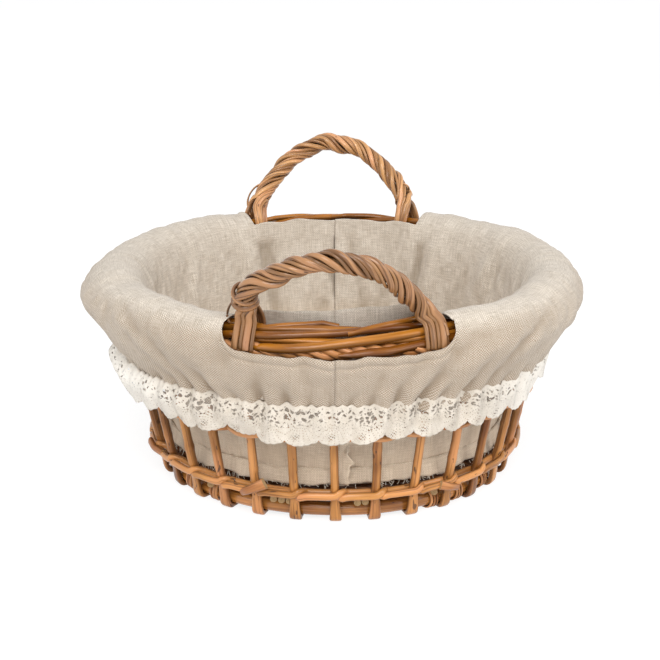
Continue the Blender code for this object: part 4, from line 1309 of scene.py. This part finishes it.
def lace_material(name):
    """Cotton lace: uneven eyelets in a band, pinholes in fans, a knot of holes at each tip.

    At the basket's sides the lace hangs slack: its holes close up and it looks whiter.
    """
    made, start = new_material(name)
    place = start.node("ShaderNodeUVMap", {"uv_map": "cloth"})
    u, v = place.part(0), place.part(1)
    patch = place.stretch(1, 0.3).noise(60, 1).smooth(0.25, 0.6) * 0.45 + 0.62
    across_basket = start.node("ShaderNodeTexCoord", {}, out=3).part(0)
    at_side = across_basket.maths("ABSOLUTE", across_basket).smooth(0.10, 0.17)
    patch = patch * (1 - at_side * 0.45)

    def hole_field(cell_u, cell_v, small, large, uneven, shift):
        """1 inside holes: one in each Voronoi cell, its size drawn from the cell's colour."""
        spot = place.stretch(1 / cell_u, 1 / cell_v, 1)
        spot = spot.node("ShaderNodeVectorMath", {"operation": "ADD"}, {0: spot, 1: (shift, 0.31 * shift, shift)})
        settings = {"voronoi_dimensions": "2D", "feature": "F1"}
        near = spot.node("ShaderNodeTexVoronoi", settings, {"Vector": spot, "Scale": 1.0, "Randomness": uneven})
        draw = Wire(near.tree, near.socket.node.outputs[1]).part(0)
        return near < (draw * (large - small) + small) * patch

    def band(top, low):
        return (v > top) * (v < low)

    scallop = u / SCALLOP_LONG + 400.5
    across = (scallop - scallop.maths("FLOOR", scallop) - 0.5) * SCALLOP_LONG
    down = v - 0.0105
    reach = (across * across + down * down).maths("SQRT", across * across + down * down)
    turn = across.maths("ARCTAN2", across, down)
    fan = turn * (15 / math.pi) + 40
    fan = fan - fan.maths("FLOOR", fan) - 0.5
    row = reach / 0.0021
    row = row - row.maths("FLOOR", row) - 0.5
    gap_a = fan * (math.pi / 15) * reach / 0.00033
    gap_b = row * (0.0021 / 0.00033)
    pin = ((gap_a * gap_a + gap_b * gap_b) < 1) * (v > 0.0145) * (reach > 0.005)
    tip_a = across + 0.0042
    tip_b = v - 0.0245
    spot_a = (tip_a + tip_b) / 0.0025 + 20
    spot_b = (tip_a - tip_b) / 0.0025 + 20
    spot_a = spot_a - spot_a.maths("FLOOR", spot_a) - 0.5
    spot_b = spot_b - spot_b.maths("FLOOR", spot_b) - 0.5
    knot = ((spot_a * spot_a + spot_b * spot_b) < 0.105)
    knot = knot * ((tip_a.maths("ABSOLUTE", tip_a) + tip_b.maths("ABSOLUTE", tip_b)) < 0.0036)

    eyelets = hole_field(0.0046, 0.0038, 0.20, 0.42, 0.8, 3.1) * band(0.0034, 0.0128)
    small = hole_field(0.0028, 0.0026, 0.08, 0.26, 0.8, 7.7) * band(0.0020, 0.0190)
    holes = eyelets
    for more in (small, pin, knot):
        holes = holes.maths("MAXIMUM", holes, more)
    thread = place.stretch(1, 1, 1).noise(1500, 2, 0.6)
    rib = (reach * (2 * math.pi / 0.0011)).maths("SINE", reach * (2 * math.pi / 0.0011))
    relief = thread + rib * 0.22 * (v > 0.0135)
    shade = (place.noise(140, 2, 0.5) * 0.4 + thread * 0.7 - 0.25).smooth(0, 0.7)
    colour = shade.tint((0.56, 0.49, 0.40, 1), (0.78, 0.725, 0.65, 1))
    colour = (at_side * 0.7).tint(colour, (0.93, 0.90, 0.84, 1))
    finish_material(start, {"Base Color": colour, "Roughness": 0.9, "Alpha": 1 - holes * 0.86},
                    relief, 0.0003, 0.7)
    return made


def lace_strip():
    """Strip round the hem: a zig-zag top, ruffles that grow downwards and uneven scallops."""
    columns, rows = SCALLOPS * 22, 30
    angle = FRONT + np.linspace(0, 2 * math.pi, columns, endpoint=False)
    share = np.linspace(0, 1, rows)[:, None]
    along = (angle - FRONT) / (2 * math.pi) * SCALLOPS
    lobe = np.abs(np.sin(math.pi * (along + 0.5)))
    small_lobe = np.abs(np.sin(math.pi * (along + 0.5) * 5))
    crease = crease_field(np.broadcast_to(angle, (1, columns)), np.full((1, columns), 0.89), hem_creases())[0]
    peaks = 2 * np.abs((along * 3 + 0.25 + 0.3 * ripple(angle, 60, 4, 0.5, 0.1)) % 1 - 0.5)
    top = LACE_TOP + 0.0022 * (peaks - 0.5) + 0.0012 * ripple(angle, 61, 5, 1.1, 0.12)
    low = LACE_LOW + 0.0046 * (1 - lobe ** 0.75) - 0.0007 * small_lobe + 0.0026 * ripple(angle, 62, 5, 0.9, 0.15)
    left = np.clip(-np.cos(angle - 0.25), 0, 1) ** 2
    right = np.clip(np.cos(angle + 0.30), 0, 1) ** 2
    flare = (0.0018 - 0.0030 * left) * share + 0.0085 * left * np.sin(math.pi * share ** 0.75)
    flare = flare - 0.0085 * right * share ** 1.2
    ruffle = ripple(angle, 63, 5, 0.42, 0.13)
    twist = ripple(angle, 64, 5, 0.42, 0.13)
    z = top + (low - top) * share
    z = z + 0.0010 * share * twist
    r = (LACE_TOP_R + 0.0010 + crease * 2.5 * (1 - share ** 2) + flare
         + 0.0030 * ruffle * share ** 1.2 + 0.0010 * share * (1 - share) * 4 * twist)
    sway = 0.0022 * share ** 1.2 * twist / LACE_TOP_R
    field = np.broadcast_to(angle + sway, r.shape)
    points = around(r, field, z)
    v = np.broadcast_to((top - z[0]) * 0 + (top - low) * share + 0.0008 * (peaks - 0.5) * (1 - share), z.shape)
    u = np.broadcast_to((angle - FRONT) * LACE_TOP_R, z.shape)
    quads = grid_quads(rows, columns, wrap_columns=True)
    corner_u = u.ravel()[quads]
    whole = 2 * math.pi * LACE_TOP_R
    wrapped = corner_u.max(1, keepdims=True) - corner_u > whole / 2
    corner_uv = np.stack([corner_u + wrapped * whole, v.ravel()[quads]], axis=-1)
    return points.reshape(-1, 3), quads, corner_uv.reshape(-1, 2)


lace_look = lace_material("cotton_lace")
points, quads, corner_uv = lace_strip()
lace = make_piece("lace_strip", points, list(quads), [lace_look], sharp=180)
lace.data.uv_layers.new(name="cloth").data.foreach_set("uv", corner_uv.astype(np.float32).ravel())
thicken(lace, 0.0005)
settle(lace, "liner", "lace", "lace_trim")

# %% Elastic in the hem
columns, rows = 720, 7
angle = FRONT + np.linspace(0, 2 * math.pi, columns, endpoint=False)
share = np.linspace(0, 1, rows)[:, None]
r = 0.1749 + 0.00025 * np.cos(angle * 180) * np.ones_like(share)
z = np.broadcast_to(0.1090 + 0.006 * share, r.shape)
points = around(r, np.broadcast_to(angle, r.shape), z).reshape(-1, 3)
quads = grid_quads(rows, columns, wrap_columns=True)[:, ::-1]
elastic = make_piece("hem_elastic_band", points, list(quads), [linen_look], sharp=180,
                     uv=np.stack([np.broadcast_to(angle * 0.175, r.shape).ravel(), z.ravel()], axis=-1))
thicken(elastic, 0.0008)
settle(elastic, "liner", "elastic", "hem_elastic")

# %% Sizes before the end
low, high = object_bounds()
print("visual box", [round(x, 4) for x in low], [round(x, 4) for x in high])
